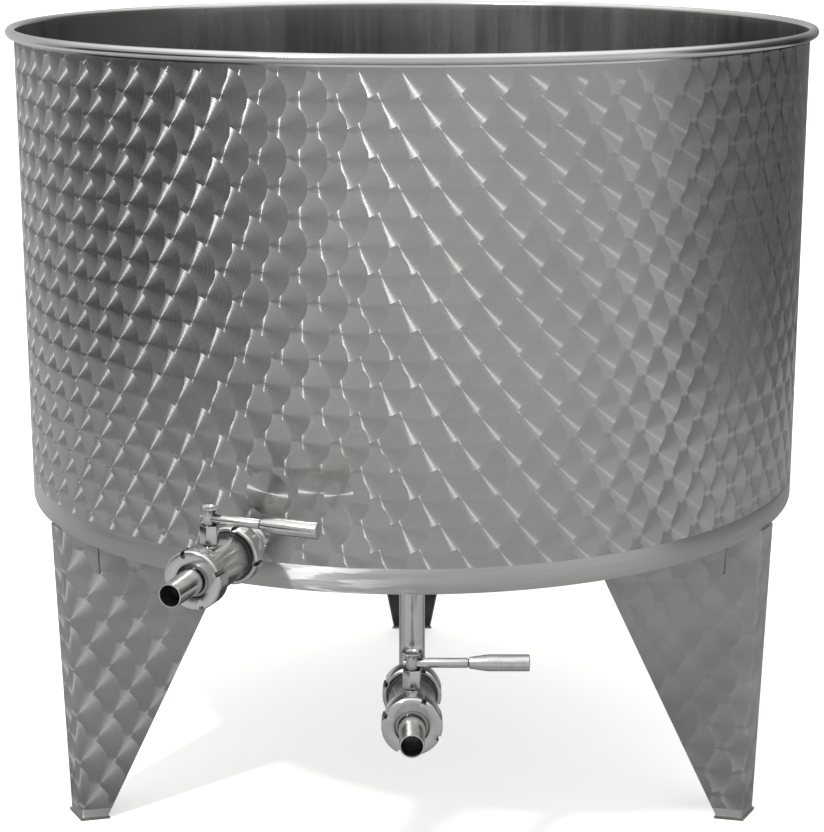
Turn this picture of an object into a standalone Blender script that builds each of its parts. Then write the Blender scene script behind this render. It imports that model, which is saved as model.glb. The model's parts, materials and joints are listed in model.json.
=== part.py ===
# Open-topped stainless storage tank on three folded sheet legs, with a side outlet
# and a bottom drain, each closed by a small butterfly valve with a lever.
# Metres, +Z up, standing on z = 0. X = 0 runs through the tank's axis, and -Y is the front.

import math

import bmesh
import bpy
from mathutils import Matrix, Vector

# Shell
SHELL_RADIUS = 0.4775          # outside of the wall, a 3 m sheet rolled to a ring
SHEET = 0.0015                 # wall, rim and bottom band
FLOOR_SHEET = 0.002
GAP = 0.0003                   # between pieces that touch
LEG_HEIGHT = 0.370             # floor to the bottom edge of the band
BAND_HEIGHT = 0.029
RIM_CENTRE_HEIGHT = 0.934
RIM_TUBE_RADIUS = 0.00575
RIM_LIP = 0.008                # straight part of the rim below the bead's centre
RIM_SWEEP = 305.0              # degrees of the rolled bead
FLOOR_RISE = 0.010             # back edge of the floor above its front edge
FLOOR_CLEARANCE = 0.001        # front edge of the floor above the band's bottom edge
SHELL_SEGMENTS = 80
BEAD_OUTER_STEPS = 11
BEAD_INNER_STEPS = 5

# Legs
LEG_AZIMUTHS = {"left": -61.0, "right": 61.0, "back": 180.0}
LEG_SHEET = 0.002
LEG_FACE_WIDTH = 0.035
LEG_FOOT_RADIUS = 0.4685       # tank axis to the outside of the leg at the floor
LEG_TOP_RADIUS = 0.4795
WING_TURN = 72.0               # degrees that each wing is folded back
WING_FOOT_WIDTH = 0.031
WING_TOP_WIDTH = 0.219
WING_STEP = 0.010              # the wing's top edge steps up inside the band here
SLIT_START = 0.040             # relief cut, along the wing from the fold
SLIT_WIDTH = 0.002
SLIT_DEPTH = 0.056
STEP_RUN = 1e-5                # length of the step in the wing's top edge
CREASE_DROP = 0.080            # crease at the wing's inner edge, below the band
CREASE_LEAN = 0.005            # the flap above the crease leans in by this at its top
FOOT_PLATE = 0.003
FOOT_MARGIN = 0.0015

# Outlets, measured outwards from the back face of the rear nut
SIDE_AZIMUTH = -21.0
SIDE_HEIGHT = 0.420
SIDE_REACH = 0.036             # wall to the back face of the rear nut
DRAIN_HEIGHT = 0.266
DRAIN_NUT_RADIUS = 0.4835      # tank axis to the back face of the rear nut
DRAIN_PIPE_RADIUS = 0.436      # tank axis to the upright pipe
ELBOW_RADIUS = 0.038
ELBOW_STEPS = 6
PIPE_OUTER = 0.014
PIPE_BORE = 0.0125
COLLAR_RADIUS = 0.022
COLLAR_START = 0.0063
COLLAR_END = 0.012
NUT_RADIUS = 0.0315
NUT_LENGTH = 0.021
NUT_BEVEL = 0.002
NUT_SHOULDER = 0.006
NUT_MOUTH_RADIUS = 0.018
NUT_THREAD_RADIUS = 0.0263
NUT_SLOTS = 4
NUT_SLOT_WIDTH = 0.0052
NUT_SLOT_DEPTH = 0.0036
NUT_SLOT_TURNS = {"side": (10.0, -20.0), "bottom": (24.0, 24.0)}    # rear nut, front nut
NUT_SLOT_OVERRUN = 0.002       # how far the slots' cutters run past the nut
FRONT_NUT_START = 0.087
THREAD_RADIUS = 0.0258
BARREL_RADIUS = 0.025
BARREL_SHOULDER = 0.078
BARREL_SHOULDER_RADIUS = 0.026
RING_START = 0.0216
RING_END = 0.0255
RING_INNER = 0.0231
RING_OUTER = 0.0256
TAIL_LAND_RADIUS = 0.0177
TAIL_LAND_LENGTH = 0.0048
TAIL_BASE_RADIUS = 0.014
TAIL_TIP_RADIUS = 0.0125
TAIL_BORE = 0.0111
TAIL_END = 0.157
WALL_CUT_BACK = 0.015          # the spigot's hole is cut from here inside the wall
WALL_CUT_FRONT = 0.010         # to here outside it
FLOOR_CUT_BELOW = 0.020
FLOOR_CUT_ABOVE = 0.030
NUT_SEGMENTS = 36
PIPE_SEGMENTS = 32
ELBOW_SEGMENTS = 28

# Valve stem and lever, heights above the pipe's axis
STEM_PLACE = 0.066
STEM_RADIUS = 0.004
STEM_BORE = 0.0043
STEM_BOTTOM = -0.010
STEM_TOP = 0.0480
STEM_BORE_BOTTOM = 0.005
BORE_OVERRUN = 0.005           # how far a bore's cutter runs past its boss
BOSS_RADIUS = 0.0075
BOSS_BOTTOM = 0.018
BOSS_TOP = 0.0270
HOUSING_RADIUS = 0.0104        # to the corners of its hexagon
HOUSING_CHAMFER = 0.0014
HOUSING_SEAT = 0.0365          # the hub's neck reaches down to here inside the housing
HOUSING_TOP = 0.0480
HOUSING_TURN = 30.0            # one corner faces outwards along the pipe
HUB_NECK_RADIUS = 0.0065
HUB_FLARE = ((0.0592, 0.0065), (0.0622, 0.0074), (0.0644, 0.0089))     # height, radius
HUB_CAP_RADIUS = 0.0104
HUB_CAP_EDGE = 0.0010
HUB_TOP = 0.0665
HUB_CUP_DEPTH = 0.0018
HUB_CUP_RIM = 0.0022
HUB_CUP_TAPER = 0.0010
HUB_CUT_REACH = 0.020
ROD_HEIGHT = 0.0545
ROD_RADIUS = 0.0052
ROD_SHOULDER = 0.0042          # the full rod starts here, seated in the neck's flank
ROD_PIN_RADIUS = 0.0033
ROD_PIN_REACH = 0.0105
ROD_PIN_CHAMFER = 0.0013
ROD_PIN_TIP_RADIUS = 0.0016
ROD_END = 0.0587
GRIP_START = 0.059
GRIP_NECK_RADIUS = 0.0060
GRIP_TAPER_END = 0.079
GRIP_RADIUS = 0.0088
GRIP_END = 0.122
GRIP_CHAMFER = 0.0008
DISC_RADIUS = 0.0122
DISC_THICKNESS = 0.003
DISC_BOSS_RADIUS = 0.0055
DISC_BOSS_REACH = 0.0105
DISC_BORE_OVERRUN = 0.002
STEM_SEGMENTS = 24
HUB_SEGMENTS = 28

SHARP_ANGLE = 30.0             # edges sharper than this stay crisp
MERGE_DISTANCE = 1e-6

# The front of the drain's hose tail and the back of the rim set the middle of the part.
RIM_CENTRE_RADIUS = SHELL_RADIUS - SHEET + RIM_TUBE_RADIUS
RIM_REACH = RIM_CENTRE_RADIUS + RIM_TUBE_RADIUS
FRONT_REACH = DRAIN_NUT_RADIUS + TAIL_END
TANK_Y = (FRONT_REACH - RIM_REACH) / 2

# Colour, metallic and roughness of each finish
FINISHES = {
    "marbled_sheet": ((0.56, 0.55, 0.53), 1.0, 0.30),
    "polished_rim": ((0.70, 0.69, 0.67), 1.0, 0.15),
    "brushed_band": ((0.62, 0.61, 0.59), 1.0, 0.40),
    "turned_steel": ((0.66, 0.65, 0.63), 1.0, 0.22),
    "black_rubber": ((0.03, 0.03, 0.03), 0.0, 0.60),
}


def clear_scene():
    for item in list(bpy.data.objects):
        bpy.data.objects.remove(item, do_unlink=True)


def make_finish(name):
    colour, metallic, roughness = FINISHES[name]
    finish = bpy.data.materials.new(name)
    finish.use_nodes = True
    shader = finish.node_tree.nodes["Principled BSDF"]
    shader.inputs["Base Color"].default_value = (*colour, 1.0)
    shader.inputs["Metallic"].default_value = metallic
    shader.inputs["Roughness"].default_value = roughness
    return finish


def make_object(name, bm, finish=None, parent=None, smooth=True):
    """Turn a bmesh into a named object."""
    bmesh.ops.remove_doubles(bm, verts=bm.verts, dist=MERGE_DISTANCE)
    bmesh.ops.recalc_face_normals(bm, faces=bm.faces)
    mesh = bpy.data.meshes.new(name)
    bm.to_mesh(mesh)
    bm.free()
    if smooth:
        mesh.shade_smooth()
        mesh.set_sharp_from_angle(angle=math.radians(SHARP_ANGLE))
    if finish:
        mesh.materials.append(make_finish(finish))
    item = bpy.data.objects.new(name, mesh)
    bpy.context.scene.collection.objects.link(item)
    item.parent = parent
    return item


def make_guide(name, parent=None, location=(0, 0, 0), turn=0.0):
    """An empty that places an outlet or lies on a hinge's axis."""
    guide = bpy.data.objects.new(name, None)
    bpy.context.scene.collection.objects.link(guide)
    guide.parent = parent
    guide.location = location
    guide.rotation_euler = (0, 0, math.radians(turn))
    return guide


def spin_outline(outline, axis, segments, closed=True):
    """Revolve (distance along the axis, radius) points. Y points outwards, so it runs to -Y."""
    bm = bmesh.new()
    points = []
    for along, radius in outline:
        place = {"X": (along, 0, radius), "Y": (radius, -along, 0), "Z": (radius, 0, along)}[axis]
        points.append(bm.verts.new(place))
    edges = [bm.edges.new(pair) for pair in zip(points, points[1:])]
    if closed:
        edges.append(bm.edges.new((points[-1], points[0])))
    direction = {"X": (1, 0, 0), "Y": (0, 1, 0), "Z": (0, 0, 1)}[axis]
    bmesh.ops.spin(bm, geom=points + edges, cent=(0, 0, 0), axis=direction, dvec=(0, 0, 0),
                   angle=math.tau, steps=segments, use_merge=True, use_duplicate=False)
    return bm


def box_bmesh(low, high):
    bm = bmesh.new()
    bmesh.ops.create_cube(bm, size=1.0)
    size = [top - bottom for top, bottom in zip(high, low)]
    middle = [(top + bottom) / 2 for top, bottom in zip(high, low)]
    bmesh.ops.scale(bm, vec=size, verts=bm.verts)
    bmesh.ops.translate(bm, vec=middle, verts=bm.verts)
    return bm


def cut(target, cutter, operation="DIFFERENCE"):
    """Apply a helper to a piece as a Boolean, and keep the helper out of the model."""
    cutter.hide_render = True
    cutter.display_type = "WIRE"
    modifier = target.modifiers.new(cutter.name, "BOOLEAN")
    modifier.operation = operation
    modifier.solver = "EXACT"
    modifier.object = cutter


def rod_cutter(name, axis, start, end, radius, parent, location=(0, 0, 0)):
    outline = [(start, 0), (start, radius), (end, radius), (end, 0)]
    bm = spin_outline(outline, axis, STEM_SEGMENTS, False)
    cutter = make_object(name, bm, parent=parent, smooth=False)
    cutter.location = location
    return cutter


def ring_outline(bottom, top, inner, outer):
    return [(bottom, inner), (bottom, outer), (top, outer), (top, inner)]


def make_shell(tank, side_outlet):
    wall_bottom = LEG_HEIGHT + BAND_HEIGHT
    wall_top = RIM_CENTRE_HEIGHT - RIM_LIP - GAP
    inner = SHELL_RADIUS - SHEET
    outline = ring_outline(wall_bottom, wall_top, inner, SHELL_RADIUS)
    wall = make_object("shell_wall", spin_outline(outline, "Z", SHELL_SEGMENTS), "marbled_sheet", tank)
    start = -SIDE_REACH - WALL_CUT_BACK
    end = -SIDE_REACH + WALL_CUT_FRONT
    cut(wall, rod_cutter("side_outlet_hole", "Y", start, end, PIPE_OUTER + GAP, side_outlet))


def make_rim(tank):
    """The sheet's top edge rolled outwards into a bead that stays open underneath."""
    inner_radius = RIM_TUBE_RADIUS - SHEET
    inner = SHELL_RADIUS - SHEET
    outline = [(RIM_CENTRE_HEIGHT - RIM_LIP, inner)]
    for radius, steps in ((RIM_TUBE_RADIUS, BEAD_OUTER_STEPS), (inner_radius, BEAD_INNER_STEPS)):
        arc = []
        for step in range(steps + 1):
            angle = math.radians(180.0 - RIM_SWEEP * step / steps)
            height = RIM_CENTRE_HEIGHT + radius * math.sin(angle)
            arc.append((height, RIM_CENTRE_RADIUS + radius * math.cos(angle)))
        if radius == inner_radius:
            arc.reverse()
        outline.extend(arc)
    outline.append((RIM_CENTRE_HEIGHT - RIM_LIP, SHELL_RADIUS))
    make_object("rim_bead", spin_outline(outline, "Z", SHELL_SEGMENTS), "polished_rim", tank)


def make_band(tank):
    top = LEG_HEIGHT + BAND_HEIGHT - GAP
    outline = ring_outline(LEG_HEIGHT, top, SHELL_RADIUS - SHEET, SHELL_RADIUS)
    make_object("bottom_band", spin_outline(outline, "Z", SHELL_SEGMENTS), "brushed_band", tank)


def floor_underside(y):
    """Height of the floor's underside, which falls towards the drain at the front."""
    share = (y + SHELL_RADIUS) / (2 * SHELL_RADIUS)
    return LEG_HEIGHT + FLOOR_CLEARANCE + FLOOR_RISE * share


def make_floor(tank, drain):
    radius = SHELL_RADIUS - SHEET - GAP
    bm = spin_outline([(0, 0), (0, radius), (FLOOR_SHEET, radius), (FLOOR_SHEET, 0)], "Z",
                      SHELL_SEGMENTS, False)
    for vert in bm.verts:
        vert.co.z += floor_underside(vert.co.y)
    plate = make_object("floor_plate", bm, "marbled_sheet", tank)
    location = (0, DRAIN_NUT_RADIUS - DRAIN_PIPE_RADIUS, 0)
    start = LEG_HEIGHT - DRAIN_HEIGHT - FLOOR_CUT_BELOW
    end = LEG_HEIGHT - DRAIN_HEIGHT + FLOOR_CUT_ABOVE
    cut(plate, rod_cutter("drain_hole", "Z", start, end, PIPE_OUTER + GAP, drain, location))


def leg_face_radius(height):
    """Tank axis to the middle of the leg's sheet at a height."""
    share = height / LEG_HEIGHT
    return LEG_FOOT_RADIUS + (LEG_TOP_RADIUS - LEG_FOOT_RADIUS) * share - LEG_SHEET / 2


def wing_point(side, along, height, lean=0.0):
    """A point of a wing in the leg's own frame, where the leg faces -Y."""
    turn = math.radians(WING_TURN)
    x = side * (LEG_FACE_WIDTH / 2 + along * math.cos(turn) - lean * math.sin(turn))
    y = -leg_face_radius(height) + along * math.sin(turn) + lean * math.cos(turn)
    return Vector((x, y, height))


def wing_width(height):
    share = (height - FOOT_PLATE) / (LEG_HEIGHT - FOOT_PLATE)
    return WING_FOOT_WIDTH + (WING_TOP_WIDTH - WING_FOOT_WIDTH) * share


def wing_top(side, along, azimuth, lean=0.0):
    """A point of the wing's top edge: under the band near the fold, then under the floor."""
    if along < WING_STEP:
        return wing_point(side, along, LEG_HEIGHT - GAP, lean)
    point = wing_point(side, along, LEG_HEIGHT, lean)
    tank_y = (Matrix.Rotation(math.radians(azimuth), 3, "Z") @ point).y
    return wing_point(side, along, floor_underside(tank_y) - GAP, lean)


def make_leg(name, azimuth, tank):
    """One sheet folded into a face and two wings that widen upwards."""
    bm = bmesh.new()
    bottom = FOOT_PLATE + GAP
    slit_bottom = LEG_HEIGHT - SLIT_DEPTH
    slit_end = SLIT_START + SLIT_WIDTH
    crease_height = LEG_HEIGHT - CREASE_DROP
    corners = {}
    for side in (-1, 1):
        low_fold = bm.verts.new(wing_point(side, 0, bottom))
        top_fold = bm.verts.new(wing_top(side, 0, azimuth))
        corners[side] = (low_fold, top_fold)
        crease_out = bm.verts.new(wing_point(side, wing_width(crease_height), crease_height))
        crease_in = bm.verts.new(wing_point(side, slit_end, slit_bottom))
        step = WING_STEP - STEP_RUN
        loop = [
            low_fold,
            bm.verts.new(wing_point(side, WING_FOOT_WIDTH, bottom)),
            crease_out,
            crease_in,
            bm.verts.new(wing_point(side, SLIT_START, slit_bottom)),
            bm.verts.new(wing_top(side, SLIT_START, azimuth)),
            bm.verts.new(wing_top(side, WING_STEP, azimuth)),
            bm.verts.new(wing_top(side, step, azimuth)),
            top_fold,
        ]
        bm.faces.new(loop)
        flap = [
            crease_in,
            crease_out,
            bm.verts.new(wing_top(side, WING_TOP_WIDTH, azimuth, CREASE_LEAN)),
            bm.verts.new(wing_top(side, slit_end, azimuth, CREASE_LEAN)),
        ]
        bm.faces.new(flap)
    bm.faces.new([corners[-1][0], corners[1][0], corners[1][1], corners[-1][1]])
    leg = make_object(name, bm, "marbled_sheet", tank, smooth=False)
    leg.rotation_euler = (0, 0, math.radians(azimuth))
    sheet = leg.modifiers.new("sheet", "SOLIDIFY")
    sheet.thickness = LEG_SHEET
    sheet.offset = 0.0
    sheet.use_even_offset = True
    sheet.use_quality_normals = True


def make_foot_plate(name, azimuth, tank):
    """A small plate that closes the folded leg at the floor."""
    turn = math.radians(WING_TURN)
    front = -leg_face_radius(0) - LEG_SHEET / 2 - FOOT_MARGIN
    back = -leg_face_radius(0) + WING_FOOT_WIDTH * math.sin(turn) + FOOT_MARGIN
    front_half = LEG_FACE_WIDTH / 2 + LEG_SHEET / 2 + FOOT_MARGIN
    back_half = front_half + WING_FOOT_WIDTH * math.cos(turn)
    outline = [(-front_half, front), (front_half, front), (back_half, back), (-back_half, back)]
    bm = bmesh.new()
    face = bm.faces.new([bm.verts.new((x, y, 0)) for x, y in outline])
    top = bmesh.ops.extrude_face_region(bm, geom=[face])
    verts = [item for item in top["geom"] if isinstance(item, bmesh.types.BMVert)]
    bmesh.ops.translate(bm, vec=(0, 0, FOOT_PLATE), verts=verts)
    plate = make_object(name, bm, "turned_steel", tank, smooth=False)
    plate.rotation_euler = (0, 0, math.radians(azimuth))


def make_side_spigot(outlet):
    """Straight pipe through the wall, with a collar that the rear nut pulls on."""
    start = -SIDE_REACH - SHEET - GAP
    outline = [
        (start, PIPE_BORE),
        (start, PIPE_OUTER),
        (COLLAR_START, PIPE_OUTER),
        (COLLAR_START, COLLAR_RADIUS),
        (COLLAR_END, COLLAR_RADIUS),
        (COLLAR_END, PIPE_BORE),
    ]
    make_object("side_spigot", spin_outline(outline, "Y", PIPE_SEGMENTS), "turned_steel", outlet)


def drain_path():
    """Centres and directions from the floor down, round the elbow and out to the nut."""
    pipe_y = DRAIN_NUT_RADIUS - DRAIN_PIPE_RADIUS
    top = floor_underside(-DRAIN_PIPE_RADIUS) + FLOOR_SHEET - DRAIN_HEIGHT
    stations = [(Vector((0, pipe_y, top)), Vector((0, 0, -1)))]
    centre = Vector((0, pipe_y - ELBOW_RADIUS, ELBOW_RADIUS))
    for step in range(ELBOW_STEPS + 1):
        angle = math.radians(90.0 * step / ELBOW_STEPS)
        offset = Vector((0, math.cos(angle), -math.sin(angle))) * ELBOW_RADIUS
        direction = Vector((0, -math.sin(angle), -math.cos(angle)))
        stations.append((centre + offset, direction))
    for along in (COLLAR_START, COLLAR_END):
        stations.append((Vector((0, -along, 0)), Vector((0, -1, 0))))
    return stations


def add_pipe_ring(bm, centre, direction, radius):
    across = Vector((1, 0, 0))
    other = direction.cross(across)
    ring = []
    for step in range(ELBOW_SEGMENTS):
        angle = math.tau * step / ELBOW_SEGMENTS
        point = centre + (across * math.cos(angle) + other * math.sin(angle)) * radius
        ring.append(bm.verts.new(point))
    return ring


def join_rings(bm, first, second):
    count = len(first)
    for step in range(count):
        after = (step + 1) % count
        bm.faces.new((first[step], first[after], second[after], second[step]))


def make_drain_pipe(outlet):
    """Upright pipe from the floor, elbow, and the collar that the rear nut pulls on."""
    bm = bmesh.new()
    stations = drain_path()
    outer = [add_pipe_ring(bm, *station, PIPE_OUTER) for station in stations[:-1]]
    outer.append(add_pipe_ring(bm, *stations[-2], COLLAR_RADIUS))
    outer.append(add_pipe_ring(bm, *stations[-1], COLLAR_RADIUS))
    bore = [add_pipe_ring(bm, *station, PIPE_BORE) for station in stations]
    for rings in (outer, bore):
        for first, second in zip(rings, rings[1:]):
            join_rings(bm, first, second)
    join_rings(bm, outer[0], bore[0])
    join_rings(bm, outer[-1], bore[-1])
    make_object("bottom_drain_pipe", bm, "turned_steel", outlet)


def make_nut(name, start, mouth_first, slot_turn, outlet):
    """Union nut with a shouldered mouth and four spanner slots."""
    shape = [
        (0, NUT_MOUTH_RADIUS),
        (0, NUT_RADIUS - NUT_BEVEL),
        (NUT_BEVEL, NUT_RADIUS),
        (NUT_LENGTH - NUT_BEVEL, NUT_RADIUS),
        (NUT_LENGTH, NUT_RADIUS - NUT_BEVEL),
        (NUT_LENGTH, NUT_THREAD_RADIUS),
        (NUT_SHOULDER, NUT_THREAD_RADIUS),
        (NUT_SHOULDER, NUT_MOUTH_RADIUS),
    ]
    outline = []
    for along, radius in shape:
        place = start + (along if mouth_first else NUT_LENGTH - along)
        outline.append((place, radius))
    nut = make_object(name, spin_outline(outline, "Y", NUT_SEGMENTS), "turned_steel", outlet)
    back = -start + NUT_SLOT_OVERRUN
    front = -start - NUT_LENGTH - NUT_SLOT_OVERRUN
    slots = bmesh.new()
    for step in range(NUT_SLOTS):
        low = (-NUT_SLOT_WIDTH / 2, front, NUT_RADIUS - NUT_SLOT_DEPTH)
        high = (NUT_SLOT_WIDTH / 2, back, NUT_RADIUS + NUT_SLOT_OVERRUN)
        slot = box_bmesh(low, high)
        angle = math.radians(slot_turn) + math.tau * step / NUT_SLOTS
        bmesh.ops.rotate(slot, cent=(0, 0, 0), matrix=Matrix.Rotation(angle, 3, "Y"), verts=slot.verts)
        piece = bpy.data.meshes.new("slot")
        slot.to_mesh(piece)
        slot.free()
        slots.from_mesh(piece)
    cut(nut, make_object(name + "_slots", slots, parent=outlet, smooth=False))


def make_valve_body(name, outlet):
    """Barrel with a thread at each end, a groove for the rubber ring, and a stem boss."""
    groove_start = RING_START - GAP
    groove_end = RING_END + GAP
    groove_radius = RING_INNER - GAP
    front_end = FRONT_NUT_START + NUT_LENGTH - COLLAR_END
    outline = [
        (COLLAR_END + GAP, PIPE_BORE),
        (COLLAR_END + GAP, THREAD_RADIUS),
        (groove_start, THREAD_RADIUS),
        (groove_start, groove_radius),
        (groove_end, groove_radius),
        (groove_end, BARREL_RADIUS),
        (BARREL_SHOULDER, BARREL_RADIUS),
        (BARREL_SHOULDER, BARREL_SHOULDER_RADIUS),
        (FRONT_NUT_START - GAP, BARREL_SHOULDER_RADIUS),
        (FRONT_NUT_START - GAP, THREAD_RADIUS),
        (front_end, THREAD_RADIUS),
        (front_end, PIPE_BORE),
    ]
    bm = spin_outline(outline, "Y", NUT_SEGMENTS)
    body = make_object(name + "_valve_body", bm, "turned_steel", outlet)
    place = (0, -STEM_PLACE, 0)
    boss = rod_cutter(name + "_boss", "Z", BOSS_BOTTOM, BOSS_TOP, BOSS_RADIUS, outlet, place)
    cut(body, boss, "UNION")
    end = BOSS_TOP + BORE_OVERRUN
    cut(body, rod_cutter(name + "_stem_bore", "Z", STEM_BORE_BOTTOM, end, STEM_BORE, outlet, place))


def make_stem_housing(name, outlet):
    """Hexagonal housing on the boss, bored out at its top for the hub's neck."""
    place = (0, -STEM_PLACE, 0)
    bottom = BOSS_TOP + GAP
    outline = [
        (bottom, 0),
        (bottom, HOUSING_RADIUS - HOUSING_CHAMFER),
        (bottom + HOUSING_CHAMFER, HOUSING_RADIUS),
        (HOUSING_TOP, HOUSING_RADIUS),
        (HOUSING_TOP, 0),
    ]
    bm = spin_outline(outline, "Z", 6, False)
    housing = make_object(name + "_stem_housing", bm, "turned_steel", outlet, smooth=False)
    housing.location = place
    housing.rotation_euler = (0, 0, math.radians(HOUSING_TURN))
    start = bottom - BORE_OVERRUN
    end = HOUSING_TOP + BORE_OVERRUN
    cut(housing, rod_cutter(name + "_housing_bore", "Z", start, end, STEM_BORE, outlet, place))
    radius = HUB_NECK_RADIUS + GAP
    cut(housing, rod_cutter(name + "_neck_bore", "Z", HOUSING_SEAT, end, radius, outlet, place))


def make_rubber_ring(name, outlet):
    outline = ring_outline(RING_START, RING_END, RING_INNER, RING_OUTER)
    bm = spin_outline(outline, "Y", PIPE_SEGMENTS)
    make_object(name + "_rubber_ring", bm, "black_rubber", outlet)


def make_hose_tail(name, outlet):
    """Collar inside the front nut, then a tapered tail for a hose."""
    nut_front = FRONT_NUT_START + NUT_LENGTH
    collar_start = nut_front - COLLAR_END + GAP
    collar_end = nut_front - COLLAR_START
    land_end = collar_end + TAIL_LAND_LENGTH
    outline = [
        (collar_start, PIPE_BORE),
        (collar_start, COLLAR_RADIUS),
        (collar_end, COLLAR_RADIUS),
        (collar_end, TAIL_LAND_RADIUS),
        (land_end, TAIL_LAND_RADIUS),
        (land_end, TAIL_BASE_RADIUS),
        (TAIL_END, TAIL_TIP_RADIUS),
        (TAIL_END, TAIL_BORE),
        (land_end, TAIL_BORE),
    ]
    make_object(name + "_hose_tail", spin_outline(outline, "Y", PIPE_SEGMENTS), "turned_steel", outlet)


def make_stem(name, pivot):
    outline = [(STEM_BOTTOM, 0), (STEM_BOTTOM, STEM_RADIUS), (STEM_TOP, STEM_RADIUS), (STEM_TOP, 0)]
    bm = spin_outline(outline, "Z", STEM_SEGMENTS, False)
    make_object(name + "_valve_stem", bm, "turned_steel", pivot)


def make_disc(name, pivot):
    """The disc that closes the bore, with a boss round the stem."""
    half = DISC_THICKNESS / 2
    outline = [(-half, 0), (-half, DISC_RADIUS), (half, DISC_RADIUS), (half, 0)]
    bm = spin_outline(outline, "Y", PIPE_SEGMENTS, False)
    disc = make_object(name + "_valve_disc", bm, "turned_steel", pivot)
    reach = DISC_BOSS_REACH
    cut(disc, rod_cutter(name + "_disc_boss", "Z", -reach, reach, DISC_BOSS_RADIUS, pivot), "UNION")
    reach += DISC_BORE_OVERRUN
    cut(disc, rod_cutter(name + "_disc_bore", "Z", -reach, reach, STEM_BORE, pivot))


def make_hub(name, pivot):
    """Turned hub with a flared, cupped cap, drilled across its neck for the lever's rod."""
    blind = STEM_TOP + GAP
    hub_bottom = HOUSING_SEAT + GAP
    cup_bottom = HUB_TOP - HUB_CUP_DEPTH
    outline = [
        (blind, 0),
        (blind, STEM_BORE),
        (hub_bottom, STEM_BORE),
        (hub_bottom, HUB_NECK_RADIUS),
        *HUB_FLARE,
        (HUB_TOP - HUB_CAP_EDGE, HUB_CAP_RADIUS),
        (HUB_TOP, HUB_CAP_RADIUS),
        (HUB_TOP, HUB_CAP_RADIUS - HUB_CUP_RIM),
        (cup_bottom, HUB_CAP_RADIUS - HUB_CUP_RIM - HUB_CUP_TAPER),
        (cup_bottom, 0),
    ]
    bm = spin_outline(outline, "Z", HUB_SEGMENTS, False)
    hub = make_object(name + "_lever_hub", bm, "turned_steel", pivot)
    place = (0, 0, ROD_HEIGHT)
    reach = HUB_CUT_REACH
    radius = ROD_PIN_RADIUS + GAP
    cut(hub, rod_cutter(name + "_pin_hole", "X", -reach, reach, radius, pivot, place))
    seat = ROD_SHOULDER - GAP
    radius = ROD_RADIUS + GAP
    cut(hub, rod_cutter(name + "_rod_seat", "X", seat, reach, radius, pivot, place))


def make_lever(name, pivot):
    """Rod through the hub, with a thicker turned grip on its end."""
    rod = [
        (-ROD_PIN_REACH, 0),
        (-ROD_PIN_REACH, ROD_PIN_TIP_RADIUS),
        (-ROD_PIN_REACH + ROD_PIN_CHAMFER, ROD_PIN_RADIUS),
        (ROD_SHOULDER, ROD_PIN_RADIUS),
        (ROD_SHOULDER, ROD_RADIUS),
        (ROD_END, ROD_RADIUS),
        (ROD_END, 0),
    ]
    grip = [
        (GRIP_START, 0),
        (GRIP_START, GRIP_NECK_RADIUS),
        (GRIP_TAPER_END, GRIP_RADIUS),
        (GRIP_END - GRIP_CHAMFER, GRIP_RADIUS),
        (GRIP_END, GRIP_RADIUS - GRIP_CHAMFER),
        (GRIP_END, 0),
    ]
    for piece, outline in (("lever_rod", rod), ("lever_grip", grip)):
        bm = spin_outline(outline, "X", STEM_SEGMENTS, False)
        item = make_object(name + "_" + piece, bm, "turned_steel", pivot)
        item.location = (0, 0, ROD_HEIGHT)


def make_valve(name, outlet):
    """Everything from the rear nut outwards; the stem, disc and lever turn on the pivot."""
    rear_turn, front_turn = NUT_SLOT_TURNS[name]
    make_nut(name + "_rear_nut", 0.0, True, rear_turn, outlet)
    make_rubber_ring(name, outlet)
    make_valve_body(name, outlet)
    make_stem_housing(name, outlet)
    make_nut(name + "_front_nut", FRONT_NUT_START, False, front_turn, outlet)
    make_hose_tail(name, outlet)
    pivot = make_guide(name + "_valve_pivot", outlet, (0, -STEM_PLACE, 0))
    make_stem(name, pivot)
    make_disc(name, pivot)
    make_hub(name, pivot)
    make_lever(name, pivot)


def main():
    clear_scene()
    tank = make_guide("tank_axis", location=(0, TANK_Y, 0))
    reach = SHELL_RADIUS + SIDE_REACH
    azimuth = math.radians(SIDE_AZIMUTH)
    side_place = (reach * math.sin(azimuth), -reach * math.cos(azimuth), SIDE_HEIGHT)
    side_outlet = make_guide("side_outlet", tank, side_place, SIDE_AZIMUTH)
    drain = make_guide("bottom_outlet", tank, (0, -DRAIN_NUT_RADIUS, DRAIN_HEIGHT))
    make_shell(tank, side_outlet)
    make_rim(tank)
    make_band(tank)
    make_floor(tank, drain)
    for side, leg_azimuth in LEG_AZIMUTHS.items():
        make_leg("leg_" + side, leg_azimuth, tank)
        make_foot_plate("foot_plate_" + side, leg_azimuth, tank)
    make_side_spigot(side_outlet)
    make_drain_pipe(drain)
    make_valve("side", side_outlet)
    make_valve("bottom", drain)
    bpy.context.view_layer.update()


main()
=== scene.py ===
import json
import math

import bpy
from mathutils import Matrix, Vector


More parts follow.
